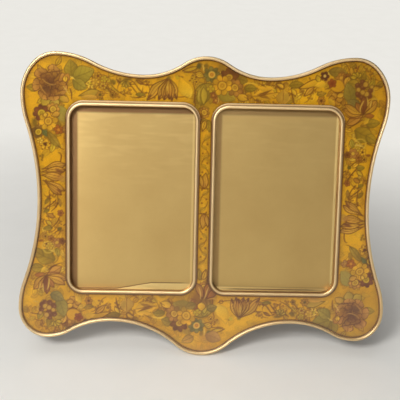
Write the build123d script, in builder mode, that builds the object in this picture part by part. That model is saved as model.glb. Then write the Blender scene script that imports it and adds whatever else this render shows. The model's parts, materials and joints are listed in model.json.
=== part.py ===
"""Double photo frame: a scalloped, one-piece front with two windows, a lift-out back and an easel strut.

Millimetres, +Z up, front towards -Y. The frame leans back and rests on its lowest lobe and on the strut's foot.
In the frame's own plane, u runs to the right, v up the frame and w out of its printed face.
"""
import os
from math import cos, radians, sin, sqrt

from build123d import *

os.makedirs("parts", exist_ok=True)

# Standing pose, in degrees
lean = 18.0
strut_opening = 36.0

# Windows, measured at the sight edge of the bezels
window_width = 81.6
window_height = 122.3
window_gap = 13.2
window_radius = 8.6

# Scalloped outline: each crest and hollow, measured from the windows' sight edges
top_lobe_rise = 33.2
top_hollow_rise = 20.6
top_hollow_inset = 47.4
upper_crest_rise = 34.4
upper_crest_reach = 9.0
upper_side_rise = 7.2
upper_side_reach = 31.9
waist_reach = 21.3
lower_side_drop = 12.7
lower_side_reach = 34.4
lower_crest_drop = 32.9
lower_crest_reach = 15.2
arch_drop = 21.3
arch_inset = 27.6
foot_lobe_drop = 44.0

# Where each S-curve of the outline turns over, as a share of the way from one crest or hollow to the next
top_lobe_turn = 0.36
top_hollow_turn = 0.58
upper_side_turn = 0.27
waist_turn = 0.74
lower_crest_turn = 0.35
arch_turn = 0.71

# Layers behind the printed face
panel_thickness = 0.4
core_thickness = 2.6
cover_thickness = 0.5
layer_fit = 0.1

# Outer rim: a rolled bead on a channel that grips the layers
rim_bead_width = 2.1
rim_bead_base = 0.55
rim_wall = 0.5
rim_lip_width = 2.2
rim_roll = 0.8

# Window bezels: a bead with an outer lip, a lining wall and a clinched flange behind the core
bezel_bead_width = 2.1
bezel_bead_height = 1.4
bezel_bead_crown = 0.1
bezel_lip_width = 0.5
bezel_lip_height = 0.35
bezel_wall = 0.5
bezel_flange_width = 4.0
bezel_cover_gap = 0.3

# Back plate, which closes both windows and slides up
photo_gap = 0.8
plate_thickness = 0.6
plate_side_margin = 5.0
plate_top_margin = 5.0
plate_bottom_margin = 4.2
plate_corner = 3.0
pull_width = 60.0
pull_depth = 5.0
pull_corner = 2.0

# Ledges that the plate stands in
ledge_length = 42.0
ledge_side_inset = 20.2
ledge_base_height = 9.0
ledge_sheet = 0.7
ledge_hook_height = 4.5
ledge_rivet_pitch = 26.0
plate_seat_gap = 0.05
plate_slide_gap = 0.3

# Turn buttons beside the plate
button_width = 7.0
button_reach = 9.0
button_thickness = 0.8
button_side_gap = 1.0
button_height = 44.0
button_play = 0.05
spacer_radius = 2.6

# Rivets
rivet_radius = 1.1
rivet_head_radius = 2.1
rivet_head_height = 1.0
rivet_head_round = 0.7
rivet_bite = 1.5
rivet_fit = 0.05

# Hinge bracket and pin
hinge_height = 42.0
bracket_sheet = 0.8
bracket_height = 28.0
bracket_side_margin = 3.0
bracket_corner = 2.0
bracket_rivet_pitch = 18.0
ear_thickness = 1.0
ear_margin = 1.8
ear_side_gap = 0.4
pin_radius = 1.2
pin_fit = 0.05
pin_head_radius = 2.0
pin_head_thickness = 0.9
pin_end_gap = 0.15

# Easel strut: a shallow tapered tray
strut_sheet = 1.0
strut_top_width = 36.0
strut_foot_width = 76.0
strut_straight = 14.0
strut_top_rise = 5.0
strut_panel_setback = 2.0
strut_edge_margin = 1.0
strut_running_gap = 0.6
stop_gap = 0.05
foot_sheet = 1.0

# The windows' reach from the centre of the front
half_span = window_gap / 2 + window_width
half_height = window_height / 2
window_centre = (window_gap + window_width) / 2

# Levels along w
core_back = -panel_thickness - core_thickness
cover_back = core_back - cover_thickness
rim_back = cover_back - rim_wall
plate_front = cover_back - photo_gap
plate_back = plate_front - plate_thickness
button_front = plate_back - plate_slide_gap
bracket_back = plate_back - bracket_sheet
strut_edge_reach = pin_radius + strut_edge_margin
axis_standoff = strut_edge_reach + strut_running_gap
axis_level = bracket_back - axis_standoff

# Directions of the frame's plane
lean_sin = sin(radians(lean))
lean_cos = cos(radians(lean))
across = Vector(1, 0, 0)
up_frame = Vector(0, lean_sin, lean_cos)
out_of_face = Vector(0, -lean_cos, lean_sin)

# The strut's angle behind the upright, and its depth at the foot
strut_angle = radians(strut_opening - lean)
tray_depth = strut_panel_setback + strut_sheet + strut_edge_reach

# The frame's centre stands where its lowest lobe meets the table
lobe_drop = half_height + foot_lobe_drop
frame_height = (
    (lobe_drop - rim_roll) * lean_cos + (-rim_back - rim_roll) * lean_sin + rim_roll
)

# The origin lies midway between the front of the bead on the lowest lobe and the back of the strut's foot
bead_radius = rim_bead_width / 2
front_reach = (lobe_drop - bead_radius) * lean_sin + rim_bead_base * lean_cos + bead_radius
axis_height = frame_height + hinge_height * lean_cos + axis_level * lean_sin
axis_depth = hinge_height * lean_sin - axis_level * lean_cos
tray_back_run = (strut_panel_setback + strut_sheet) / cos(strut_angle)
foot_reach = axis_depth + axis_height * sin(strut_angle) / cos(strut_angle) + tray_back_run
frame_setback = (front_reach - foot_reach) / 2

face_plane = Plane(origin=(0, frame_setback, frame_height), x_dir=across, z_dir=out_of_face)
outwards = Axis(face_plane.origin, out_of_face)


def level(w):
    """The plane parallel to the printed face, w in front of it."""
    return face_plane.offset(w)


def s_curve(start, end, heading, turn):
    """Two arcs between a crest and a hollow, which leave and arrive along the heading."""
    middle = start + (end - start) * turn
    first = TangentArc(start, middle, tangent=heading)
    TangentArc(middle, end, tangent=first % 1)


def corner_curve(start, end, heading):
    """Two arcs of an eighth of a turn each, which leave along the heading and arrive square to it."""
    along = heading.dot(end - start)
    sideways = (end - start) - heading * along
    rise = 1 - sqrt(0.5)
    run = sqrt(0.5)
    radius = (run * along - rise * sideways.length) / (run**2 - rise**2)
    middle = start + heading * (radius * run) + sideways.normalized() * (radius * rise)
    first = TangentArc(start, middle, tangent=heading)
    TangentArc(middle, end, tangent=first % 1)


# Crests and hollows of the right half, from the top down
top_lobe = Vector(0, half_height + top_lobe_rise)
top_hollow = Vector(half_span - top_hollow_inset, half_height + top_hollow_rise)
upper_crest = Vector(half_span + upper_crest_reach, half_height + upper_crest_rise)
upper_side = Vector(half_span + upper_side_reach, half_height + upper_side_rise)
waist = Vector(half_span + waist_reach, 0)
lower_side = Vector(half_span + lower_side_reach, -half_height - lower_side_drop)
lower_crest = Vector(half_span + lower_crest_reach, -half_height - lower_crest_drop)
arch = Vector(half_span - arch_inset, -half_height - arch_drop)
foot_lobe = Vector(0, -lobe_drop)

rightwards = Vector(1, 0)
downwards = Vector(0, -1)
leftwards = Vector(-1, 0)

with BuildSketch() as outline_sketch:
    with BuildLine():
        s_curve(top_lobe, top_hollow, rightwards, top_lobe_turn)
        s_curve(top_hollow, upper_crest, rightwards, top_hollow_turn)
        corner_curve(upper_crest, upper_side, rightwards)
        s_curve(upper_side, waist, downwards, upper_side_turn)
        s_curve(waist, lower_side, downwards, waist_turn)
        corner_curve(lower_side, lower_crest, downwards)
        s_curve(lower_crest, arch, leftwards, lower_crest_turn)
        s_curve(arch, foot_lobe, leftwards, arch_turn)
        mirror(about=Plane.YZ)
    make_face()

outline = outline_sketch.face()


def scallop(inset):
    """The outline, drawn in by the inset, in the current sketch."""
    add(outline)
    offset(amount=-inset, mode=Mode.REPLACE)


def window_shape(margin, mode=Mode.ADD):
    """One window's rounded rectangle, larger than the sight edge by the margin on every side."""
    RectangleRounded(
        window_width + 2 * margin, window_height + 2 * margin, window_radius + margin, mode=mode
    )


def window_holes(margin):
    """Cuts both windows out of the current sketch."""
    with Locations((-window_centre, 0), (window_centre, 0)):
        window_shape(margin, Mode.SUBTRACT)


# Places of the rivets on the back, as (u, v)
plate_half_width = half_span + plate_side_margin
plate_bottom = -half_height - plate_bottom_margin
plate_top = half_height + plate_top_margin
ledge_top = plate_bottom - plate_seat_gap
ledge_base_middle = ledge_top - ledge_sheet - ledge_base_height / 2
ledge_offset = plate_half_width - ledge_side_inset - ledge_length / 2
button_pivot = plate_half_width + button_side_gap + button_width / 2
button_places = {
    "upper_left": (-button_pivot, button_height),
    "lower_left": (-button_pivot, -button_height),
    "upper_right": (button_pivot, button_height),
    "lower_right": (button_pivot, -button_height),
}
ledge_rivet_places = [
    (side * ledge_offset + step * ledge_rivet_pitch / 2, ledge_base_middle)
    for side in (-1, 1)
    for step in (-1, 1)
]
cover_rivet_places = list(button_places.values()) + ledge_rivet_places
layer_inset = rim_wall + layer_fit
rivet_hole = rivet_radius + rivet_fit

# Printed panel on the front
with BuildPart() as printed_panel:
    with BuildSketch(level(-panel_thickness)):
        scallop(layer_inset)
        window_holes(bezel_wall + layer_fit)
    extrude(amount=panel_thickness)

# Core board, with blind holes for the rivets of the back
with BuildPart() as core_board:
    with BuildSketch(level(core_back)):
        scallop(layer_inset)
        window_holes(bezel_wall + layer_fit)
    extrude(amount=core_thickness)
    with BuildSketch(level(core_back)):
        with Locations(cover_rivet_places):
            Circle(rivet_hole)
    extrude(amount=rivet_bite + rivet_fit, mode=Mode.SUBTRACT)

# Rear cover, open round the bezels' flanges
with BuildPart() as rear_cover:
    with BuildSketch(level(cover_back)):
        scallop(layer_inset)
        window_holes(bezel_flange_width + bezel_cover_gap)
        with Locations(cover_rivet_places):
            Circle(rivet_hole, mode=Mode.SUBTRACT)
    extrude(amount=cover_thickness)

# Outer rim, a section that runs once round the outline
rim_path = face_plane.location * outline.outer_wire()
rim_section = Plane(
    origin=face_plane.from_local_coords(top_lobe), x_dir=-up_frame, z_dir=-across
)
with BuildPart() as outer_rim:
    with BuildSketch(rim_section):
        with BuildLine():
            Line((0, rim_back + rim_roll), (0, rim_bead_base))
            ThreePointArc(
                (0, rim_bead_base),
                (bead_radius, rim_bead_base + bead_radius),
                (rim_bead_width, rim_bead_base),
            )
            Polyline(
                (rim_bead_width, rim_bead_base),
                (rim_bead_width, 0),
                (rim_wall, 0),
                (rim_wall, cover_back),
                (rim_lip_width, cover_back),
                (rim_lip_width, rim_back),
                (rim_roll, rim_back),
            )
            TangentArc((rim_roll, rim_back), (0, rim_back + rim_roll), tangent=(-1, 0))
        make_face()
    sweep(path=rim_path)


def window_bezel(u):
    """One bezel: bead and lip on the print, lining wall, and the flange clinched behind the core."""
    with BuildPart() as bezel:
        with BuildSketch(face_plane):
            with Locations((u, 0)):
                window_shape(bezel_bead_width)
                window_shape(0, Mode.SUBTRACT)
        extrude(amount=bezel_bead_height)
        crown = bezel.faces().sort_by(outwards)[-1]
        fillet(crown.edges(), (bezel_bead_width - bezel_bead_crown) / 2)
        with BuildSketch(face_plane):
            with Locations((u, 0)):
                window_shape(bezel_bead_width + bezel_lip_width)
                window_shape(bezel_bead_width / 2, Mode.SUBTRACT)
        extrude(amount=bezel_lip_height)
        with BuildSketch(level(cover_back)):
            with Locations((u, 0)):
                window_shape(bezel_wall)
                window_shape(0, Mode.SUBTRACT)
        extrude(amount=-cover_back)
        with BuildSketch(level(cover_back)):
            with Locations((u, 0)):
                window_shape(bezel_flange_width)
                window_shape(0, Mode.SUBTRACT)
        extrude(amount=cover_thickness)
    return bezel.part


window_bezel_left = window_bezel(-window_centre)
window_bezel_right = window_bezel(window_centre)

# Back plate with its finger pull along the top edge
with BuildPart() as back_plate:
    with BuildSketch(level(plate_back)):
        with Locations((0, (plate_top + plate_bottom) / 2)):
            RectangleRounded(2 * plate_half_width, plate_top - plate_bottom, plate_corner)
        with Locations((0, hinge_height)):
            with GridLocations(0, bracket_rivet_pitch, 1, 2):
                Circle(rivet_hole, mode=Mode.SUBTRACT)
    extrude(amount=plate_thickness)
    pull_plane = Plane(
        origin=face_plane.from_local_coords((0, plate_top, plate_front)), x_dir=across, z_dir=-up_frame
    )
    with BuildSketch(pull_plane):
        with Locations((0, -(pull_depth + plate_thickness) / 2)):
            Rectangle(pull_width, pull_depth + plate_thickness)
    extrude(amount=plate_thickness)
    pull_ends = back_plate.edges().filter_by(Axis((0, 0, 0), up_frame)).sort_by(outwards)[:2]
    fillet(pull_ends, pull_corner)


def bottom_ledge(u):
    """One ledge: a riveted base, a step that carries the plate and a hook behind its edge."""
    with BuildPart() as ledge:
        with BuildSketch(level(cover_back)):
            with Locations((u, ledge_top - (ledge_sheet + ledge_base_height) / 2)):
                Rectangle(ledge_length, ledge_sheet + ledge_base_height)
            with Locations((u, ledge_base_middle)):
                with GridLocations(ledge_rivet_pitch, 0, 2, 1):
                    Circle(rivet_hole, mode=Mode.SUBTRACT)
        extrude(amount=-ledge_sheet)
        with BuildSketch(level(cover_back)):
            with Locations((u, ledge_top - ledge_sheet / 2)):
                Rectangle(ledge_length, ledge_sheet)
        extrude(amount=button_front - ledge_sheet - cover_back)
        with BuildSketch(level(button_front)):
            with Locations((u, ledge_top - ledge_sheet + ledge_hook_height / 2)):
                Rectangle(ledge_length, ledge_hook_height)
        extrude(amount=-ledge_sheet)
    return ledge.part


bottom_ledge_left = bottom_ledge(-ledge_offset)
bottom_ledge_right = bottom_ledge(ledge_offset)


def rivets(places, head_level, tip_level):
    """A group of rivets: shanks from the head's underside to the tip, heads on the back."""
    with BuildPart() as group:
        with BuildSketch(level(head_level)):
            with Locations(places):
                Circle(rivet_head_radius)
        extrude(amount=-rivet_head_height)
        rear_edges = group.edges().filter_by(GeomType.CIRCLE).group_by(outwards)[0]
        fillet(rear_edges, rivet_head_round)
        with BuildSketch(level(head_level)):
            with Locations(places):
                Circle(rivet_radius)
        extrude(amount=tip_level - head_level)
    return group.part


button_head = button_front - button_thickness - button_play
cover_rivet_tip = core_back + rivet_bite
button_rivets = rivets(list(button_places.values()), button_head, cover_rivet_tip)
ledge_rivets = rivets(ledge_rivet_places, cover_back - ledge_sheet, cover_rivet_tip)

# Spacers that lift the turn buttons to the back of the plate
with BuildPart() as button_spacers:
    with BuildSketch(level(cover_back)):
        with Locations(list(button_places.values())):
            Circle(spacer_radius)
            Circle(rivet_hole, mode=Mode.SUBTRACT)
    extrude(amount=button_front + button_play - cover_back)


def turn_button(u, v):
    """One turn button, lying inwards across the edge of the plate."""
    inwards = -1 if u > 0 else 1
    with BuildPart() as button:
        with BuildSketch(level(button_front)):
            with Locations((u + inwards * button_reach / 2, v)):
                SlotCenterToCenter(button_reach, button_width)
            with Locations((u, v)):
                Circle(rivet_hole, mode=Mode.SUBTRACT)
        extrude(amount=-button_thickness)
    return button.part


turn_buttons = {place: turn_button(*spot) for place, spot in button_places.items()}

# Hinge bracket: a base on the plate and two ears for the pin
ear_inner = strut_top_width / 2 + ear_side_gap
ear_outer = ear_inner + ear_thickness
ear_radius = pin_radius + ear_margin
pin_hole = pin_radius + pin_fit
axis_point = face_plane.from_local_coords((0, hinge_height, axis_level))
with BuildPart() as hinge_bracket:
    with BuildSketch(level(bracket_back)):
        with Locations((0, hinge_height)):
            RectangleRounded(2 * (ear_outer + bracket_side_margin), bracket_height, bracket_corner)
            with GridLocations(0, bracket_rivet_pitch, 1, 2):
                Circle(rivet_hole, mode=Mode.SUBTRACT)
    extrude(amount=bracket_sheet)
    for ear_start in (-ear_outer, ear_inner):
        ear_plane = Plane(origin=axis_point + across * ear_start, x_dir=up_frame, z_dir=across)
        with BuildSketch(ear_plane):
            Circle(ear_radius)
            with Locations((0, axis_standoff / 2)):
                Rectangle(2 * ear_radius, axis_standoff)
            Circle(pin_hole, mode=Mode.SUBTRACT)
        extrude(amount=ear_thickness)

bracket_rivet_places = [
    (0, hinge_height - bracket_rivet_pitch / 2),
    (0, hinge_height + bracket_rivet_pitch / 2),
]
bracket_rivets = rivets(bracket_rivet_places, bracket_back, plate_front)

# Hinge pin with its two upset heads
pin_half = ear_outer + pin_end_gap
with BuildPart() as hinge_pin:
    with BuildSketch(Plane(origin=axis_point, x_dir=up_frame, z_dir=across)):
        Circle(pin_radius)
    extrude(amount=pin_half, both=True)
    for head_start in (-pin_half - pin_head_thickness, pin_half):
        with BuildSketch(Plane(origin=axis_point + across * head_start, x_dir=up_frame, z_dir=across)):
            Circle(pin_head_radius)
        extrude(amount=pin_head_thickness)

# Easel strut, in its own plane: y up the strut and z towards the back plate
opening_sin = sin(radians(strut_opening))
opening_cos = cos(radians(strut_opening))
strut_front = out_of_face * opening_cos - up_frame * opening_sin
strut_plane = Plane(origin=axis_point, x_dir=across, z_dir=strut_front)
strut_length = axis_height / cos(strut_angle)
tray_floor = -strut_panel_setback - strut_sheet
foot_run = strut_length + tray_depth


def strut_outline(inset, mode=Mode.ADD):
    """The strut's tapered shape, narrower by the inset on each long side."""
    half_top = strut_top_width / 2 - inset
    half_foot = strut_foot_width / 2 - inset
    slope = (half_foot - half_top) / (strut_length - strut_straight)
    half_end = half_top + slope * (foot_run - strut_straight)
    right_side = [
        (half_top, strut_top_rise),
        (half_top, -strut_straight),
        (half_end, -foot_run),
    ]
    left_side = [(-u, y) for u, y in reversed(right_side)]
    Polygon(*right_side, *left_side, align=None, mode=mode)


with BuildPart() as easel_strut:
    with BuildSketch(strut_plane.offset(tray_floor)):
        strut_outline(0)
    extrude(amount=strut_sheet)
    with BuildSketch(strut_plane.offset(tray_floor)):
        strut_outline(0)
        strut_outline(strut_sheet, Mode.SUBTRACT)
    extrude(amount=tray_depth)
    with BuildSketch(Plane(origin=axis_point, x_dir=up_frame, z_dir=across)):
        Circle(pin_hole)
    extrude(amount=strut_top_width, both=True, mode=Mode.SUBTRACT)
    with BuildSketch(level(axis_level + axis_standoff - stop_gap)):
        with Locations((0, hinge_height)):
            Rectangle(2 * ear_inner, bracket_height)
    extrude(amount=tray_depth + strut_top_rise, mode=Mode.SUBTRACT)
    split(bisect_by=Plane.XY, keep=Keep.TOP)
    foot_middle = frame_setback + foot_reach - tray_depth / cos(strut_angle) / 2
    with BuildSketch(Plane.XY):
        with Locations((0, foot_middle)):
            Rectangle(strut_foot_width - 2 * strut_sheet, tray_depth / cos(strut_angle))
    extrude(amount=foot_sheet)

pieces = {
    "printed_panel": printed_panel.part,
    "core_board": core_board.part,
    "rear_cover": rear_cover.part,
    "outer_rim": outer_rim.part,
    "window_bezel_left": window_bezel_left,
    "window_bezel_right": window_bezel_right,
    "back_plate": back_plate.part,
    "bottom_ledge_left": bottom_ledge_left,
    "bottom_ledge_right": bottom_ledge_right,
    "ledge_rivets": ledge_rivets,
    "button_spacers": button_spacers.part,
    "button_rivets": button_rivets,
    "hinge_bracket": hinge_bracket.part,
    "bracket_rivets": bracket_rivets,
    "hinge_pin": hinge_pin.part,
    "easel_strut": easel_strut.part,
}
for place, button in turn_buttons.items():
    pieces["turn_button_" + place] = button

for name, piece in pieces.items():
    piece.label = name
    export_step(piece, f"parts/{name}.step")
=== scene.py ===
"""Looks of the double photo frame: brass rim and bezels, floral print, satin back plate and easel strut."""
import json
import math

import bpy
import numpy as np
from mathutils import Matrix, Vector
from mathutils.bvhtree import BVHTree


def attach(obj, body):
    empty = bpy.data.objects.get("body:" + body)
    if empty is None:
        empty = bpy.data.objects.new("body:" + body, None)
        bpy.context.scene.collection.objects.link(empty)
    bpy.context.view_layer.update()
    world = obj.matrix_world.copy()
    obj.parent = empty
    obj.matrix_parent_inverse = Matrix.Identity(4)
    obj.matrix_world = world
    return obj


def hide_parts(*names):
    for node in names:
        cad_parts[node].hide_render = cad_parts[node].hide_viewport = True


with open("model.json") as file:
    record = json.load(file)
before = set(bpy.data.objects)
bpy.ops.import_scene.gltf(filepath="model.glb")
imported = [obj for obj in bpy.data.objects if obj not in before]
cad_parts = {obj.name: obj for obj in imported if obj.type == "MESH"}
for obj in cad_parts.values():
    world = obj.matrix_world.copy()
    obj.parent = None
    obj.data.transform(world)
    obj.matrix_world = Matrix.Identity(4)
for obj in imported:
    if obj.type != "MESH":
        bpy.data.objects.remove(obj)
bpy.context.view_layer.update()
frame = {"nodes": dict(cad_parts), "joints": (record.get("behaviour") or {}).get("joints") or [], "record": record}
nodes = frame["nodes"]

# Camera, in metres and degrees: a 400 x 400 image
CAMERA_PLACE = (-0.01644, -0.49280, 0.33267)
CAMERA_TURN = (64.089, -1.563, -0.890)
CAMERA_LENS = 72.0
CAMERA_SENSOR = 36.0

# Soft lights, all aimed at one place: name, place and size in metres, and power in watts
LIGHT_AIM = (0, 0, 0.1)
LIGHTS = (
    ("key", (-0.38, -0.61, 0.70), (0.26, 0.26), 5.7),
    ("strip", (-0.28, -0.97, 0.87), (0.94, 0.16), 1.5),
    ("wide_strip", (0.0, -0.97, 0.86), (1.2, 0.12), 1.4),
    ("overhead", (-0.4, 0.1, 1.5), (1.2, 1.2), 6.2),
)

# Axes of the leaning front: across, up its face, and out of it
ACROSS = Vector((1, 0, 0))
UP = Vector(next(joint["axis"] for joint in frame["joints"] if joint["name"] == "back_slide"))
OUT = ACROSS.cross(UP)
TILT = math.atan2(UP.z, UP.y)

# World light: a glow by the height above the horizon and by the way to the front, each as two sines
# and the strengths there, and the room's own light
HORIZON_FADE = (0.0, 0.22, 0.46, 0.0)
FRONT_FADE = (-0.75, 0.0, 1.0, 0.35)
ROOM_LIGHT = 0.04
ROOM_TONE = (1.0, 0.98, 0.95, 1)

# Printed sheet, in metres: size, fineness and thickness, how it is probed for the panel, and what counts as
# one vertex and as a face that looks out
SHEET_SPAN = 0.25
SHEET_CELLS = 520
SHEET_THICKNESS = 0.0004
SHEET_PROBE = 0.005
SHEET_PROBE_REACH = 0.006
MERGE_DISTANCE = 1e-6
FLAT_FACING = 0.5
MILLIMETRES = 1000

# How much of each colour's light the aged lacquer lets through, low down and at the top of the print,
# and how far above the print's middle it reaches the second, in metres
LACQUER = (1.0, 0.98, 0.6)
TOP_LACQUER = (1.0, 0.98, 0.38)
LACQUER_REACH = 0.09

# Back plate, in metres: how far each window's marks reach past its opening, and the painted shadow at the windows'
# left and upper edges
WINDOW_MARK_REACH = 0.004
PAINTED_SHADOW_FADE = (0.0036, 0.005)
PAINTED_SHADOW_STRENGTH = {"left": 0.8, "right": 0.5}

# Crease over each window's foot, in metres: its start above the foot, how far it rises between two shares
# of the window's width, its painted shadow line, the shares of the half width where the line ends, and the painted
# highlight below it
CREASE_START = {"left": 0.0003, "right": 0.0028}
CREASE_RISE = {"left": 0.0042, "right": -0.0004}
CREASE_BEND = (0.38, 0.66)
CREASE_FADE = (0.0001, 0.0005)
CREASE_ENDS = (0.8, 0.97)
CREASE_STRENGTH = {"left": 0.85, "right": 0.2}
BELOW_CREASE = (-0.0006, -0.0002)
BELOW_STRENGTH = 0.4

# Painted shadow line along the foot, in metres, and the shares of the half width where it ends
FOOT_LINE = {"left": 0.0, "right": 1.0}
FOOT_LINE_HEIGHT = 0.0009
FOOT_LINE_ENDS = (0.6, 0.85)

# The plate bends forward below the crease and at the windows' right edges: reach in metres, and slope
FOLD_REACH = 0.005
FOLD_SLOPE = -0.17
SIDE_FOLD = 0.0018
SIDE_SLOPE = {"left": 0.03, "right": 0.16}

# Ripples across the plate: depth as a share of the bump's, which noise is a crest, and the painted highlight on
# the crests
RIPPLE_SHARE = {"left": 1.3, "right": 0.2}
RIPPLE_CREST = (0.5, 0.66)
RIPPLE_GLOW = {"left": 0.22, "right": 0.1}
RIPPLE_SCALE = 260.0

# Painted highlight line at each window's right edge; the depth of the marks behind the plate's front, the
# stretch of its highlight, and how far the bezels reach over the openings, in metres
GLINT_INSET = 0.0012
GLINT_FADE = (0.0003, 0.0008)
GLINT_STRENGTH = 0.5
MARK_DEPTH = 0.0003
PLATE_STRETCH = 0.85
BEZEL_FLANGE = 0.004

# Painted shade on the bezels' inner walls: full up to the first height above the print's face and none from the
# second, in metres
BEZEL_SHADE_HEIGHTS = (0.0006, 0.0012)
BEZEL_SHADE_STRENGTH = 0.75

# Raised upper edge of the bezels, in metres: size, how far outside the lip it runs, and its corners
EDGE_RADIUS = 0.0006
EDGE_OUTSET = 0.0003
EDGE_CORNER = 0.0115
EDGE_STEPS = 16
EDGE_ROUNDING = 2
EDGE_TAPER = 0.2

# The floor shows its own pale colour beyond the second distance from the object, in metres, and only
# a share of it nearer than the first, so that it keeps the object's shadow
FLOOR_SIZE = 12
FLOOR_FADE = (0.12, 0.42)
FLOOR_NEAR_SHARE = 0.08
FLOOR_GRAIN = 40.0
FLOOR_ROUGHNESS = 0.8

# Noise in the finishes: its roughness, and scales per metre
NOISE_ROUGHNESS = 0.55
PATCH_SCALE = 26.0
SPECK_SCALE = 700.0
SCUFF_SCALE = 900.0
WAVE_SCALE = 110.0
PEEL_SCALE = 700.0
SCRATCH_SCALE = 260.0
ENAMEL_SCALE = 30.0
FIBRE_SCALE = 1200.0
CLOUD_SCALE = 70.0
GRAIN_SCALE = 1500.0
SWELL_SCALE = 45.0

# Which part of the noise each mark takes: from where it starts to where it is full
MOST_OF_NOISE = (0.3, 0.7)
PATCH_PART = (0.38, 0.66)
SPECK_PART = (0.66, 0.76)
SCRATCH_PART = (0.66, 0.72)
CLOUD_PART = (0.42, 0.72)
GRAIN_PART = (0.45, 0.7)

# Strengths of the marks, and the depths of the bumps in metres
SPECKS_PER_SCUFF = 5
SPECK_SHADE = 0.6
SCRATCH_STRENGTH = 0.35
CLOUD_STRENGTH = 0.3
GRAIN_STRENGTH = 0.16
BUMP_DEPTH = 0.0001
PEEL_BUMP = (0.1, 0.0002)
FIBRE_BUMP = (0.3, 0.0003)
SWELL_BUMP = (0.05, 0.0008)

# Roughness, and how noise is stretched: ripples run across the plate, and brushing runs up it
ENAMEL_ROUGHNESS = (0.32, 0.46)
BOARD_ROUGHNESS = (0.8, 0.95)
PRINT_ROUGHNESS = (0.4, 0.52)
RIPPLED = (0.2, 1, 1)
BRUSHED = (1, 1, 0.06)
SCRATCHED = (0.05, 1, 1)
SCRATCH_TURN = (0, 24, 0)
FIBROUS = (0.2, 1, 1)


def from_display(values):
    """Display values from 0 to 255 as the linear values that shaders use."""
    shares = np.clip(np.asarray(values) / 255, 0, 1)
    return np.where(shares <= 0.04045, shares / 12.92, ((shares + 0.055) / 1.055) ** 2.4)


def linear(red, green, blue):
    """A colour given as display values, in linear values."""
    return from_display((red, green, blue)).tolist()


def mesh_points(piece):
    """A mesh's vertices as rows of numbers."""
    points = np.empty(3 * len(piece.data.vertices))
    piece.data.vertices.foreach_get("co", points)
    return points.reshape(-1, 3)


def surface(piece):
    """A mesh's faces, as a tree that finds the nearest one."""
    corners = [vertex.co for vertex in piece.data.vertices]
    return BVHTree.FromPolygons(corners, [face.vertices for face in piece.data.polygons])


def front_middle():
    """The point of the print's face that lies midway between the two windows."""
    bezels = np.vstack([mesh_points(nodes["window_bezel_" + side]) for side in ("left", "right")])
    heights = bezels @ np.array(UP)
    face = (mesh_points(nodes["printed_panel"]) @ np.array(OUT)).max()
    middle = 0.5 * (bezels[:, 0].min() + bezels[:, 0].max())
    return ACROSS * middle + UP * (0.5 * (heights.min() + heights.max())) + OUT * face


def window_edges(side):
    """Where a window's opening starts and ends across, and the heights of its foot and its top."""
    points = mesh_points(nodes["window_bezel_" + side])
    heights = points @ np.array(UP)
    left, right = points[:, 0].min() + BEZEL_FLANGE, points[:, 0].max() - BEZEL_FLANGE
    return left, right, heights.min() + BEZEL_FLANGE, heights.max() - BEZEL_FLANGE


FRONT_MIDDLE = front_middle()
# Painted shade, for the back plate's painted shadows and shadow lines and for the bezels' inner walls
PAINTED_SHADE = linear(122, 78, 52)
# Painted highlight tone for the back plate
PAINTED_HIGHLIGHT = linear(255, 226, 150)


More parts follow.
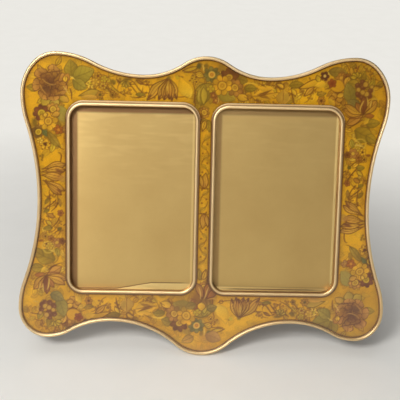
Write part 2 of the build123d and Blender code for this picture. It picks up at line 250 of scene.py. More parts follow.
class Finish:
    """A material under construction: makes nodes and joins them to its principled shader."""

    def __init__(self, name):
        self.material = bpy.data.materials.new(name)
        self.material.use_nodes = True
        self.tree = self.material.node_tree
        self.shader = self.tree.nodes["Principled BSDF"]
        self.relief = None

    def add(self, kind, settings=None, **inputs):
        """A node; inputs are values, colours or sockets, by the input's name with _ for a space."""
        made = self.tree.nodes.new("ShaderNode" + kind)
        for key, value in (settings or {}).items():
            setattr(made, key, value)
        for key, value in inputs.items():
            self.put(made, key.replace("_", " "), value)
        return made

    def put(self, made, key, value):
        socket = made.inputs[int(key)] if key.isdigit() else made.inputs[key]
        if isinstance(value, bpy.types.NodeSocket):
            self.tree.links.new(value, socket)
        elif socket.type == "RGBA" and len(value) == 3:
            socket.default_value = (*value, 1)
        else:
            socket.default_value = value

    def set(self, **inputs):
        for key, value in inputs.items():
            self.put(self.shader, key.replace("_", " "), value)

    def noise(self, place, scale, detail=4.0, stretch=(1, 1, 1), turn=(0, 0, 0)):
        """Noise over the object, stretched by scaling the axes."""
        mapping = self.add("Mapping", Vector=place)
        mapping.inputs["Scale"].default_value = stretch
        mapping.inputs["Rotation"].default_value = [math.radians(angle) for angle in turn]
        made = self.add("TexNoise", Vector=mapping.outputs[0], Scale=scale, Detail=detail,
                        Roughness=NOISE_ROUGHNESS)
        return made.outputs[0]

    def ramp(self, factor, low, high, start, end):
        """Carries factor from low..high to start..end."""
        made = self.add("MapRange", Value=factor)
        made.inputs["From Min"].default_value = low
        made.inputs["From Max"].default_value = high
        made.inputs["To Min"].default_value = start
        made.inputs["To Max"].default_value = end
        return made.outputs[0]

    def mix(self, factor, first, second, blend="MIX"):
        made = self.add("Mix", {"data_type": "RGBA", "blend_type": blend})
        self.put(made, "0", factor)
        self.put(made, "6", first)
        self.put(made, "7", second)
        return made.outputs[2]

    def bump(self, height, strength, distance):
        made = self.add("Bump", Height=height, Strength=strength, Distance=distance)
        self.set(Normal=made.outputs[0])

    def place(self):
        return self.add("TexCoord").outputs["Object"]

    def sum(self, operation, first, second):
        """What a math operation makes of two values or sockets."""
        made = self.add("Math", {"operation": operation})
        self.put(made, "0", first)
        self.put(made, "1", second)
        return made.outputs[0]

    def along(self, place, axis):
        """How far a place lies along an axis."""
        made = self.add("VectorMath", {"operation": "DOT_PRODUCT"})
        self.put(made, "0", place)
        made.inputs[1].default_value = axis
        return made.outputs["Value"]

    def near(self, value, aim, inner, outer):
        """1 where a value is within inner of its aim, fading to 0 at outer."""
        away = self.sum("ABSOLUTE", self.sum("SUBTRACT", value, aim), 0.0)
        return self.ramp(away, inner, outer, 1.0, 0.0)

    def light_from_afar(self, tone, place):
        """Lets rays that look at the surface see its plain tone where it is far from the origin."""
        path = self.add("LightPath").outputs
        looks = self.sum("MAXIMUM", path["Is Camera Ray"], path["Is Glossy Ray"])
        sees = self.sum("MAXIMUM", looks, path["Is Transmission Ray"])
        reach = self.add("VectorMath", {"operation": "LENGTH"})
        self.put(reach, "0", place)
        far = self.ramp(reach.outputs["Value"], *FLOOR_FADE, FLOOR_NEAR_SHARE, 1.0)
        glow = self.add("Emission", Color=tone)
        blend = self.add("MixShader", Fac=self.sum("MULTIPLY", far, sees))
        self.put(blend, "1", self.shader.outputs[0])
        self.put(blend, "2", glow.outputs[0])
        self.put(self.tree.nodes["Material Output"], "Surface", blend.outputs[0])


def brass_finish(name, pale, deep, rough, patch=0.5, scuff=0.05, grain=(1, 1, 1), metal=1.0, marks=None,
                 ripple=0.0):
    """Aged brass: patches of tone, sparse specks, a roughness that follows fine scuffs, and ripples."""
    finish = Finish(name)
    place = finish.place()
    patches = finish.noise(place, PATCH_SCALE, detail=5.0)
    specks = finish.noise(place, SPECK_SCALE, detail=2.0)
    scuffs = finish.noise(place, SCUFF_SCALE, detail=3.0, stretch=grain)
    tone = finish.mix(finish.ramp(patches, *PATCH_PART, 0.0, patch), pale, deep)
    dots = finish.ramp(specks, *SPECK_PART, 0.0, SPECKS_PER_SCUFF * scuff)
    tone = finish.mix(dots, tone, [SPECK_SHADE * c for c in deep])
    if marks:
        tone = marks(finish, place, tone)
    finish.set(Base_Color=tone, Metallic=metal)
    finish.set(Roughness=finish.ramp(scuffs, *MOST_OF_NOISE, rough - scuff, rough + scuff))
    height = finish.sum("MULTIPLY", scuffs, scuff)
    if ripple:
        waves = finish.noise(place, WAVE_SCALE, detail=1.0, stretch=RIPPLED)
        height = finish.sum("ADD", height, finish.sum("MULTIPLY", waves, ripple))
    if finish.relief:
        height = finish.sum("ADD", height, finish.relief)
    finish.bump(height, 1.0, BUMP_DEPTH)
    return finish.material


def plate_marks(finish, place, tone):
    """The back plate's own marks: a stretched highlight, ripples with painted highlights on their crests, painted
    shadow at the windows' left and upper edges, a bent foot with painted shadow lines and a painted highlight
    below the crease, and a painted highlight at each right edge.
    """
    way = finish.add("Tangent", {"direction_type": "RADIAL", "axis": "X"})
    finish.set(Anisotropic=PLATE_STRETCH, Tangent=way.outputs[0])
    across = finish.along(place, ACROSS)
    height = finish.along(place, UP)
    face = (mesh_points(nodes["back_plate"]) @ np.array(OUT)).max()
    front = finish.ramp(finish.along(place, OUT), face - MARK_DEPTH, face - 0.5 * MARK_DEPTH, 0.0, 1.0)
    waves = finish.noise(place, RIPPLE_SCALE, detail=1.0, stretch=RIPPLED)

    def both(first, second):
        return finish.sum("MULTIPLY", first, second)

    for side, rise in CREASE_RISE.items():
        left, right, foot, top = window_edges(side)
        middle, half = 0.5 * (left + right), 0.5 * (right - left)
        inside = both(front, finish.near(across, middle, half, half + WINDOW_MARK_REACH))
        # Painted highlight on the ripples' crests, towards the window's top
        crest = finish.ramp(waves, *RIPPLE_CREST, 0.0, RIPPLE_GLOW[side])
        crest = both(crest, finish.ramp(height, 0.5 * (foot + top), top, 0.0, 1.0))
        tone = finish.mix(both(crest, inside), tone, PAINTED_HIGHLIGHT)
        # Painted shadow along the window's upper and left edges, where the bezel's shadow falls on the plate
        upper = both(inside, finish.near(height, top, *PAINTED_SHADOW_FADE))
        edge = both(finish.sum("MAXIMUM", finish.near(across, left, *PAINTED_SHADOW_FADE), upper), front)
        tone = finish.mix(both(edge, PAINTED_SHADOW_STRENGTH[side]), tone, PAINTED_SHADE)
        # Painted highlight line at the window's right edge
        glint = both(finish.near(across, right - GLINT_INSET, *GLINT_FADE), inside)
        tone = finish.mix(both(glint, GLINT_STRENGTH), tone, PAINTED_HIGHLIGHT)

        low = foot + CREASE_START[side]
        start, end = (left + share * (right - left) for share in CREASE_BEND)
        drop = finish.sum("SUBTRACT", height, finish.ramp(across, start, end, low, low + rise))
        # Painted highlight below the crease
        below = finish.ramp(drop, *BELOW_CREASE, BELOW_STRENGTH, 0.0)
        tone = finish.mix(both(inside, below), tone, PAINTED_HIGHLIGHT)
        # Painted shadow lines along the crease and along the foot
        for value, aim, ends, strength in (
                (drop, 0.0, CREASE_ENDS, CREASE_STRENGTH[side]),
                (height, foot + FOOT_LINE_HEIGHT, FOOT_LINE_ENDS, FOOT_LINE[side])):
            line = both(finish.near(value, aim, *CREASE_FADE), front)
            line = both(line, finish.near(across, middle, *(share * half for share in ends)))
            tone = finish.mix(both(line, strength), tone, PAINTED_SHADE)

        fold = finish.ramp(drop, -FOLD_REACH, 0.0, -FOLD_SLOPE * FOLD_REACH / BUMP_DEPTH, 0.0)
        side_bend = SIDE_SLOPE[side] * SIDE_FOLD / BUMP_DEPTH
        bent = finish.sum("ADD", fold, finish.ramp(across, right - SIDE_FOLD, right, 0.0, side_bend))
        swell = both(waves, finish.ramp(height, foot, top, 0.0, RIPPLE_SHARE[side]))
        bent = both(finish.sum("ADD", bent, swell), inside)
        finish.relief = finish.sum("ADD", finish.relief, bent) if finish.relief else bent
    return tone


def bezel_marks(finish, place, tone):
    """Painted shade on the bezels where they line the windows, up to just above the print's face."""
    face = FRONT_MIDDLE.dot(OUT)
    heights = (face + height for height in BEZEL_SHADE_HEIGHTS)
    wall_shade = finish.ramp(finish.along(place, OUT), *heights, BEZEL_SHADE_STRENGTH, 0.0)
    return finish.mix(wall_shade, tone, PAINTED_SHADE)


def enamel_finish():
    """Brown stoved enamel with a slight orange peel and a few dull scratches."""
    finish = Finish("rear_enamel")
    place = finish.place()
    peel = finish.noise(place, PEEL_SCALE, detail=2.0)
    scratches = finish.noise(place, SCRATCH_SCALE, detail=2.0, stretch=SCRATCHED, turn=SCRATCH_TURN)
    tone = finish.mix(finish.noise(place, ENAMEL_SCALE), linear(92, 64, 38), linear(112, 82, 50))
    marks = finish.ramp(scratches, *SCRATCH_PART, 0.0, SCRATCH_STRENGTH)
    finish.set(Base_Color=finish.mix(marks, tone, linear(150, 120, 84)))
    finish.set(Roughness=finish.ramp(peel, *MOST_OF_NOISE, *ENAMEL_ROUGHNESS))
    finish.bump(peel, *PEEL_BUMP)
    return finish.material


def strawboard_finish():
    """Raw strawboard with fibres."""
    finish = Finish("strawboard")
    fibres = finish.noise(finish.place(), FIBRE_SCALE, stretch=FIBROUS)
    finish.set(Base_Color=finish.mix(fibres, linear(150, 122, 80), linear(188, 160, 112)))
    finish.set(Roughness=finish.ramp(fibres, *MOST_OF_NOISE, *BOARD_ROUGHNESS))
    finish.bump(fibres, *FIBRE_BUMP)
    return finish.material


def print_finish():
    """Printed colour under aged lacquer: faint mottling and grain, and a clear gloss on top."""
    finish = Finish("floral_print")
    place = finish.place()
    ink = finish.add("Attribute", {"attribute_name": "print_colour"}).outputs["Color"]
    grain = finish.noise(place, GRAIN_SCALE, detail=2.0)
    mottle = finish.ramp(finish.noise(place, CLOUD_SCALE, detail=5.0), *CLOUD_PART, 0.0, CLOUD_STRENGTH)
    tone = finish.mix(mottle, ink, linear(196, 160, 110), "MULTIPLY")
    tone = finish.mix(finish.ramp(grain, *GRAIN_PART, 0.0, GRAIN_STRENGTH), tone, linear(110, 70, 20))
    finish.set(Base_Color=tone, Roughness=finish.ramp(grain, *MOST_OF_NOISE, *PRINT_ROUGHNESS))
    finish.set(Specular_IOR_Level=0.1, Coat_Weight=0.9, Coat_Roughness=0.08, Coat_IOR=2.0)
    finish.bump(finish.noise(place, SWELL_SCALE, detail=2.0), *SWELL_BUMP)
    return finish.material


bezel_brass = brass_finish("bezel_brass", linear(246, 216, 164), linear(226, 192, 138), rough=0.46,
                           scuff=0.01, marks=bezel_marks)
finishes = {
    "gilt_brass": brass_finish("gilt_brass", linear(238, 207, 155), linear(210, 174, 119), rough=0.42,
                               scuff=0.01, metal=0.75),
    "satin_brass": brass_finish("satin_brass", linear(224, 188, 117), linear(214, 176, 107), rough=0.3,
                                patch=0.7, scuff=0.015, grain=BRUSHED, metal=0.75, marks=plate_marks,
                                ripple=0.2),
    "strut_brass": brass_finish("strut_brass", linear(206, 168, 104), linear(176, 136, 78), rough=0.36,
                                patch=0.7, grain=BRUSHED),
    "bright_rivet": brass_finish("bright_rivet", linear(232, 200, 138), linear(204, 164, 102), rough=0.33),
    "rear_enamel": enamel_finish(),
    "strawboard": strawboard_finish(),
    "floral_print": print_finish(),
}


def dress_cad_nodes():
    """Gives every CAD node the finish of its material slot, and the bezels their own brass."""
    slots = {row["node"]: row["material_slot"] for row in frame["record"]["subparts"]}
    for name, piece in nodes.items():
        bezel = name.startswith("window_bezel")
        piece.data.materials.clear()
        piece.data.materials.append(bezel_brass if bezel else finishes[slots[name]])


# Inks of the print, as display values from 0 to 255
GROUND = (230, 171, 28)
GROUND_DEEP = (217, 156, 22)
GROUND_WARM = (230, 166, 44)
OLIVE = (142, 113, 36)
OLIVE_LIGHT = (164, 136, 50)
OLIVE_DARK = (104, 80, 26)
GREY_GREEN = (150, 131, 70)
TEAL = (100, 96, 58)
MAUVE = (128, 80, 48)
MAUVE_DARK = (98, 56, 36)
MAUVE_PALE = (178, 126, 74)
TAN = (190, 136, 66)
CREAM = (226, 188, 112)
RUSSET = (128, 72, 32)
LINE = (102, 58, 22)
GOLD = (222, 168, 46)
GOLD_LIGHT = (231, 186, 76)
OCHRE = (186, 138, 40)
LEMON = (196, 162, 44)
ORANGE = (208, 136, 56)
FADED = (216, 162, 62)

# Leafy ground, in millimetres: full and bare spots as place and half sizes, and the leaves that fill it
LEAFY_BASE = 0.22
LEAFY_FULL = 0.95
LEAFY_LOWER_SHARE = 0.7
LEAFY_SPOTS = (
    (10, 77, 19, 14), (40, 71, 22, 9), (-2, 62, 6, 12), (97, 76, 19, 17), (103, 46, 9, 13),
    (-102, 46, 9, 16), (-70, 74, 12, 7), (-100, 72, 9, 10), (-100, -28, 7, 10),
)
BARE_SPOTS = (
    (-113, 69, 5.5, 14), (-96, 91.5, 7, 4), (-101, 27, 8, 6), (-14, 75, 5, 7), (66, 69, 6, 5),
    (-44, 73, 6, 4),
)
LEAFY_REACH = (122, 104)
WINDOW_MIDDLE = 47.4
WINDOW_HALF = (38, 60)
LEAF_STEP = 4.4
LEAF_SEED = 7
LEAF_SHADE = (166, 120, 24)
LEAF_SHADE_STRENGTH = 0.3
LEAF_TONES = (OCHRE, GOLD, LEMON, OLIVE, (218, 170, 40), (182, 140, 32), (176, 124, 40), GOLD_LIGHT)

# A darker patch in the lower right corner under the flowers, and two glazes of painted shade over them on the
# right lobe and the crown, where the light falls off: each a smudge's values
DARK_CORNER = (112, -84, 0, 84, 70, (172, 128, 28), 0.5)
SHADE_GLAZES = ((104, 72, 0, 50, 60, (96, 60, 16), 0.12), (8, 82, 0, 50, 40, (96, 60, 16), 0.1))

# Rose: its heart, and its whorls from the outside in, as the number of petals, their start, length, width,
# tones and turn
ROSE_HEART = (-100.6, 74)
ROSE_WHORLS = (
    (7, 4.0, 7.8, 8.0, (150, 98, 50), (190, 134, 74), 22),
    (6, 2.4, 6.5, 6.8, (124, 80, 40), (176, 122, 56), 64),
    (5, 1.1, 5.2, 5.3, (110, 68, 36), (156, 104, 52), 10),
    (3, 0.0, 3.6, 3.7, (90, 54, 32), (132, 86, 46), 52),
)

# Places in millimetres where the hanging tulip and the lily's petals start
TULIP_ROOT = (-24.8, 80.6)
LILY_ROOT = (103.2, 58.8)

# Dirt and painted shade along the metal's feet, and a wider painted shade beyond it: colour, reaches in metres and
# strengths
DIRT_AND_SHADE_TONE = (78, 45, 14)
DARK_LINE_REACH = 0.0015
DARK_LINE_STRENGTH = 0.9
DARK_LINE_CORE = 1.25
DARK_LINE_FALL = 1.4
SHADE_REACH = 0.006
SHADE_STRENGTH = 0.28

# Drift of the ground's tone and shake of the drawing hand, as lengths of waves across and up in millimetres
DRIFT_WAVES = ((23, 31), (-41, 17))
DRIFT_STRENGTH = 0.55
WARM_WAVES = (13, 19)
WARM_STRENGTH = 0.3
SHAKE = 0.22
SHAKE_ACROSS = (5.3, 1.9)
SHAKE_UP = (2.1, -4.7)

# Width of a soft edge in millimetres, the turn in radians that spreads marks evenly, a daisy's petals,
# and a sprig's strength and leaflets as shares of its length and turns in degrees
SOFT = 0.5
GOLDEN_TURN = 2.39996
DAISY_PETALS = 8
SPRIG_STRENGTH = 0.7
SPRIG_LEAFLETS = ((0.1, 50), (0.3, -50), (0.5, 30))


def soft(inside):
    """How far a point is covered, from its distance inside an edge."""
    return np.clip(inside / SOFT + 0.5, 0, 1)


def pen(away, width, dark=1.0):
    """How far a point is covered by a pen line, from its distance to it."""
    return np.clip(dark - np.abs(away) / width, 0, 1)


def direction(angle):
    """The way an angle in radians points."""
    return np.array((math.cos(angle), math.sin(angle)))


def each(draw, *marks):
    """Draws marks of one kind, one after another."""
    for mark in marks:
        draw(*mark)


class PrintSheet:
    """Points of the sheet in millimetres across and up from its middle, painted with flowers."""

    def __init__(self, across, up):
        self.order = np.argsort(across)
        self.sorted_across = across[self.order]
        sorted_up = up[self.order]

        def shake(long, high):
            return SHAKE * np.sin(self.sorted_across / long + sorted_up / high)

        self.across = self.sorted_across + shake(*SHAKE_ACROSS)
        self.up = sorted_up + shake(*SHAKE_UP)
        self.paint = np.zeros((len(across), 3))
        self.side = 1
        self.shift = (0, 0)

    def local(self, x, y, heading, reach):
        """Rows within reach of a place, with their distances along a heading and to its left."""
        x, y = self.side * x + self.shift[0], self.side * y + self.shift[1]
        first, last = np.searchsorted(self.sorted_across, (x - reach - 1, x + reach + 1))
        near = np.abs(self.up[first:last] - y) < reach + 1
        rows = np.arange(first, last)[near]
        angle = math.radians(heading)
        right = (self.across[rows] - x) * self.side
        rise = (self.up[rows] - y) * self.side
        along = right * math.cos(angle) + rise * math.sin(angle)
        left = rise * math.cos(angle) - right * math.sin(angle)
        return rows, along, left

    def lay(self, rows, cover, tone):
        """Covers the rows with a tone, as thickly as cover says from 0 to 1."""
        cover = np.clip(cover, 0, 1)[:, None]
        self.paint[rows] += cover * (np.asarray(tone, float) - self.paint[rows])

    def ground(self):
        """Amber ground that drifts a little in tone over the whole sheet."""
        drift = 0.5 + 0.25 * sum(np.sin(self.across / long + self.up / high) for long, high in DRIFT_WAVES)
        warm = 0.5 + 0.5 * np.sin(self.across / WARM_WAVES[0] + 2 * np.sin(self.up / WARM_WAVES[1]))
        self.paint[:] = GROUND
        everything = np.arange(len(self.paint))
        self.lay(everything, DRIFT_STRENGTH * drift, GROUND_DEEP)
        self.lay(everything, WARM_STRENGTH * warm, GROUND_WARM)

    def density(self, across, up):
        """How leafy the ground is at a place, from bare to full; the print repeats turned half round."""
        full = np.full(np.shape(across), LEAFY_BASE)
        for spots, aim in ((LEAFY_SPOTS, LEAFY_FULL), (BARE_SPOTS, 0.0)):
            for x, y, wide, tall in spots:
                for side in (1, -1):
                    away = ((across - side * x) / wide) ** 2 + ((up - side * y) / tall) ** 2
                    full = full + (aim - full) * np.exp(-0.7 * away ** 2)
        return full * np.where(np.asarray(up) < 0, LEAFY_LOWER_SHARE, 1.0)

    def foliage(self):
        """Small golden and brown leaves over the ground, one in each cell of a grid, thicker in places."""
        everything = np.arange(len(self.paint))
        self.lay(everything, LEAF_SHADE_STRENGTH * self.density(self.across, self.up) ** 2, LEAF_SHADE)
        draw = np.random.default_rng(LEAF_SEED)
        for x in np.arange(-LEAFY_REACH[0], LEAFY_REACH[0], LEAF_STEP):
            for y in np.arange(-LEAFY_REACH[1], LEAFY_REACH[1], LEAF_STEP):
                aside, above, heading, size, kind = draw.random(5)
                spot = (x + LEAF_STEP * aside, y + LEAF_STEP * above)
                away = (abs(abs(spot[0]) - WINDOW_MIDDLE), abs(spot[1]))
                if away[0] < WINDOW_HALF[0] and away[1] < WINDOW_HALF[1]:
                    continue
                length = LEAF_STEP * (1.1 + 0.8 * size)
                tone = LEAF_TONES[int(kind * len(LEAF_TONES))]
                self.leaf(*spot, 360 * heading, length, 0.48 * length, tone, LINE, bend=0.3 * (aside - 0.5),
                          strength=float(self.density(*spot)))

    def petal(self, x, y, heading, length, width, root, tip, line=LINE, bend=0.0, swell=0.58, blunt=0.8,
              streaks=0, strength=1.0, line_strength=0.8, fade=0.35):
        """A petal from its root: bent by a share of its length, widest at the swell, streaked and lined."""
        rows, along, left = self.local(x, y, heading, 1.1 * length + width)
        part = np.clip(along / length, 0, 1)
        left = left - bend * length * part ** 2
        arch = np.clip(np.sin(np.pi * part ** (math.log(0.5) / math.log(swell))), 0, 1)
        half = 0.5 * width * arch ** blunt
        inside = np.where((along < 0) | (along > length), -9.0, half - np.abs(left))
        cover = strength * soft(inside)
        share = (part * part * (3 - 2 * part))[:, None]
        tone = np.asarray(root) * (1 - share) + np.asarray(tip) * share
        tone = (1 - fade) * tone + fade * np.asarray(FADED)
        room = np.maximum(half, 0.3)
        lit = 1 + 0.09 * np.clip(left / room, -1, 1)
        self.lay(rows, cover, tone * lit[:, None])
        if streaks:
            comb = np.sin(0.5 * math.pi * streaks * (left / room + 1))
            thin = pen(comb * room, 0.35 * streaks, 1.2)
            self.lay(rows, 0.65 * cover * thin * np.clip(part * 4, 0, 1), line or LINE)
        if line is not None:
            rim = pen(inside - 0.05, 0.4, 1.25)
            self.lay(rows, line_strength * strength * rim * (inside > -5), line)
        return rows, part, left, cover

    def leaf(self, x, y, heading, length, width, tone=OLIVE, rib=OLIVE_DARK, bend=0.0, strength=1.0):
        """A leaf with a midrib and slanting veins, one half paler than the other."""
        pale = [min(255, 1.12 * c + 8) for c in tone]
        rows, part, left, cover = self.petal(x, y, heading, length, width, tone, pale, rib, bend, 0.45, 0.9,
                                             strength=strength, line_strength=0.6, fade=0.0)
        veins = np.sin((part * length - 0.8 * np.abs(left)) * 2 * math.pi / (0.17 * length + 0.8))
        self.lay(rows, 0.25 * cover * np.clip(veins - 0.3, 0, 1), rib)
        self.lay(rows, 0.22 * cover * np.clip(-veins - 0.2, 0, 1), OLIVE_LIGHT)
        self.lay(rows, 0.55 * cover * pen(left, 0.45) * (part < 0.9), rib)

    def dot(self, x, y, radius, tone, strength=1.0):
        rows, along, left = self.local(x, y, 0, radius + 1)
        self.lay(rows, strength * soft(radius - np.hypot(along, left)), tone)

    def ring(self, x, y, radius, tone, thick=0.7, strength=0.8):
        rows, along, left = self.local(x, y, 0, radius + 1)
        self.lay(rows, strength * pen(np.hypot(along, left) - radius, 0.6 * thick, 1.2), tone)

    def smudge(self, x, y, heading, length, width, tone, strength=0.8):
        """A soft patch with no outline."""
        rows, along, left = self.local(x, y, heading, max(length, width))
        away = np.hypot(along / (0.5 * length), left / (0.5 * width))
        self.lay(rows, strength * np.clip(1.6 * (1.15 - away), 0, 1), tone)

    def stroke(self, tone, width, *points, strength=0.85):
        """A pen stroke along a curve with the points as its control points, thinner at its ends."""
        middle = np.mean(points, axis=0)
        reach = max(math.dist(middle, point) for point in points) + width
        rows, right, rise = self.local(middle[0], middle[1], 0, reach)
        nearest = np.full(len(rows), 99.0)
        for step in np.linspace(0, 1, 6 + int(2 * reach / 0.4)):
            control = [np.asarray(point, float) - middle for point in points]
            while len(control) > 1:
                control = [a + step * (b - a) for a, b in zip(control, control[1:])]
            thin = 0.55 + 0.45 * math.sin(math.pi * step)
            away = np.hypot(right - control[0][0], rise - control[0][1]) - 0.5 * width * thin
            np.minimum(nearest, away, out=nearest)
        self.lay(rows, strength * soft(-nearest), tone)

    def blossom(self, x, y, radius, tone, heart, petals=5, turn=0.0):
        """A small blossom of round petals with a dark outline and a heart."""
        rows, along, left = self.local(x, y, turn, radius + 1)
        away = np.hypot(along, left)
        lobes = np.abs(np.cos(0.5 * petals * np.arctan2(left, along)))
        inside = radius * (0.66 + 0.34 * lobes ** 0.7) - away
        cover = soft(inside)
        tone = np.asarray(tone) * (0.86 + 0.2 * np.clip(away / radius, 0, 1))[:, None]
        self.lay(rows, cover, tone)
        self.lay(rows, 0.55 * cover * pen(lobes * away, 0.5, 1.3), LINE)
        self.lay(rows, 0.6 * pen(inside - 0.1, 0.5), LINE)
        self.dot(x, y, 0.3 * radius, heart)

    def daisy(self, x, y, radius, tone, edge, disc_radius, disc, turn=0.0, line=LINE):
        """A daisy: petals round a speckled disc with a pale ring."""
        rows, along, left = self.local(x, y, turn, radius + 1)
        away = np.hypot(along, left)
        angle = np.arctan2(left, along)
        lobes = np.abs(np.cos(0.5 * DAISY_PETALS * angle))
        inside = radius * (0.74 + 0.26 * lobes ** 0.8) - away
        cover = soft(inside)
        share = np.clip((away - disc_radius) / (radius - disc_radius), 0, 1)[:, None]
        sway = 1 + 0.1 * np.sin(3 * angle + x)
        self.lay(rows, cover, (np.asarray(tone) * (1 - share) + np.asarray(edge) * share) * sway[:, None])
        self.lay(rows, 0.7 * cover * pen(lobes * away, 0.65, 1.2) * (away > disc_radius), line)
        self.lay(rows, 0.6 * pen(inside - 0.1, 0.55), line)
        self.dot(x, y, disc_radius + 0.45, line, 0.8)
        self.dot(x, y, disc_radius, disc)
        self.ring(x, y, 0.8 * disc_radius, GOLD_LIGHT, 0.6, 0.55)
        self.ring(x, y, 0.35 * disc_radius, line, 0.6, 0.35)

    def speckle(self, x, y, radius, tone, count, size=0.45):
        """Dots spread evenly round a place."""
        for number in range(count):
            reach = radius * math.sqrt((number + 0.5) / count)
            self.dot(*(np.array((x, y)) + reach * direction(GOLDEN_TURN * number)), size, tone, 0.8)

    def sprigs(self, x, y, wide, tall, count, size=5.0):
        """Fine twigs with leaflets, spread evenly over an oval, each bent its own way."""
        for number in range(count):
            reach = math.sqrt((number + 0.5) / count)
            angle = GOLDEN_TURN * number + x
            heading = 2.3 * angle
            spot = np.array((x, y)) + np.array((wide, tall)) * reach * direction(angle)
            ahead = size * direction(heading)
            aside = 0.3 * size * direction(heading + 0.5 * math.pi) * (1 if number % 2 else -1)
            self.stroke(LINE, 0.6, spot - 0.5 * ahead, spot + aside, spot + 0.5 * ahead,
                        strength=SPRIG_STRENGTH)
            for share, turn in SPRIG_LEAFLETS:
                self.petal(*(spot + share * ahead + 0.4 * aside), math.degrees(heading) + turn, 0.45 * size,
                           0.2 * size, OCHRE, LINE, strength=SPRIG_STRENGTH, line_strength=0.6)

    def fan(self, x, y, headings, length, width, tone, tip, line=LINE):
        """Pointed leaflets or petals spread from one place."""
        for heading in headings:
            self.petal(x, y, heading, length, width, tone, tip, line, swell=0.5, blunt=1.0)


def leaf_trio(sheet):
    """Three leaves on one stalk beside the rose, and smaller ones behind it."""
    sheet.smudge(-95, 91, -8, 20, 7, (196, 148, 26), 0.6)
    each(sheet.leaf, (-104.5, 79, 122, 9, 4.6, OCHRE, LINE), (-97, 86, 66, 7, 3.2, (190, 146, 34), LINE),
         (-108.5, 72, 178, 8, 4.6, (156, 122, 34)), (-86.8, 79, 98, 12, 8.4),
         (-86, 78.6, 24, 14.5, 11, (150, 126, 48)), (-86.6, 77.6, -34, 10.6, 7.6, (143, 119, 48)))
    sheet.stroke(CREAM, 0.8, (-89, 79.6), (-87, 79.4), (-85, 77.4))


def daisy_bunch(sheet):
    """Daisies and small blossoms in a bunch under the rose."""
    sheet.leaf(-97.5, 60, -48, 12.5, 9, GREY_GREEN, (128, 108, 54))
    sheet.smudge(-92.8, 52.5, -60, 9, 6, (176, 148, 78), 0.6)
    sheet.daisy(-99.3, 58.4, 4.6, TAN, TAN, 2.1, (198, 154, 60))
    sheet.daisy(-106.6, 55.8, 5.6, (128, 74, 44), (112, 62, 40), 2.3, (180, 146, 38), turn=12)
    sheet.smudge(-111.3, 49.5, -75, 7, 4, OLIVE_DARK, 0.7)
    sheet.petal(-108.5, 50.5, -70, 5, 3.2, TAN, MAUVE_PALE)
    sheet.daisy(-108.6, 43.8, 4.4, OLIVE_DARK, (150, 106, 56), 2.0, (186, 148, 36), turn=20)
    sheet.leaf(-106, 46, -62, 6.5, 2.8, TEAL, (76, 84, 50))
    sheet.daisy(-102.2, 50.6, 6.6, (206, 152, 40), GOLD, 2.4, (204, 150, 46), turn=8)
    sheet.petal(-103.6, 53, 105, 3.4, 3, (206, 160, 62), GOLD_LIGHT)
    sheet.petal(-100.6, 54, 20, 6, 4, (186, 138, 60), TAN)
    sheet.blossom(-92, 45.4, 2.8, MAUVE_PALE, TAN)
    sheet.blossom(-95.8, 45.4, 3.2, (170, 98, 34), (206, 136, 46), turn=30)
    sheet.leaf(-103, 43.6, -50, 13.6, 4.8, (150, 117, 42))
    sheet.stroke(LINE, 0.6, (-96, 35), (-94.4, 32.4), (-92.2, 32.4))
    sheet.blossom(-104.6, 35.6, 3.8, GOLD, LINE, 6)
    sheet.blossom(-108, 38, 2.4, GOLD_LIGHT, OCHRE)
    sheet.speckle(-104.8, 35, 3.4, LINE, 9)


def rose(sheet):
    """A full rose: whorls of petals round a dark heart, with grey sepals under it."""
    sheet.petal(-100, 67, 222, 9, 6, GREY_GREEN, OLIVE_LIGHT, OLIVE_DARK)
    sheet.petal(-99, 67, 282, 8, 6.4, GREY_GREEN, (164, 138, 72), OLIVE_DARK, streaks=1)
    sheet.petal(-97, 68, -30, 9, 5, OLIVE_LIGHT, TAN, OLIVE_DARK)
    sheet.smudge(-99.9, 74.3, 10, 20, 19, (144, 96, 42), 0.9)
    for count, inner, length, width, root, tip, turn in ROSE_WHORLS:
        for number in range(count):
            angle = turn + 360 * number / count
            start = np.array(ROSE_HEART) + inner * direction(math.radians(angle))
            heading = angle + 22 * math.sin(3.1 * number + turn)
            uneven = 1 + 0.2 * math.sin(5.3 * number + turn)
            sheet.petal(*start, heading, length * uneven, width, root, tip, MAUVE_DARK, 0.2, 0.66, 0.75,
                        streaks=2, fade=0.0)
    sheet.smudge(-103.6, 79, 150, 12, 5, (112, 68, 42), 0.5)
    sheet.smudge(-104, 70.6, 160, 9, 6, (104, 66, 44), 0.6)
    each(sheet.stroke, ((204, 154, 90), 0.6, (-105.8, 78), (-103.4, 74.4), (-99.6, 73.2), (-97.4, 74.6)),
         (CREAM, 0.6, (-92.4, 73.4), (-90.4, 70.6), (-89, 67.8)),
         ((206, 150, 84), 0.6, (-107.6, 74.6), (-106.8, 70), (-102.4, 67)),
         (MAUVE_DARK, 0.7, (-107.4, 80), (-103, 83.4), (-97, 81), (-92.6, 84)),
         (MAUVE_DARK, 0.7, (-105, 67.6), (-99, 66), (-94, 69), (-91, 66.6)),
         (MAUVE_DARK, 0.8, (-88.2, 72), (-86.4, 69), (-87.6, 65.4)))
    sheet.petal(-92.6, 75, 62, 7.6, 4.4, (202, 146, 62), (162, 100, 50), MAUVE, streaks=1)
    sheet.petal(-91.2, 75.6, 96, 4.4, 3.6, GOLD, GOLD_LIGHT, LINE, streaks=2)


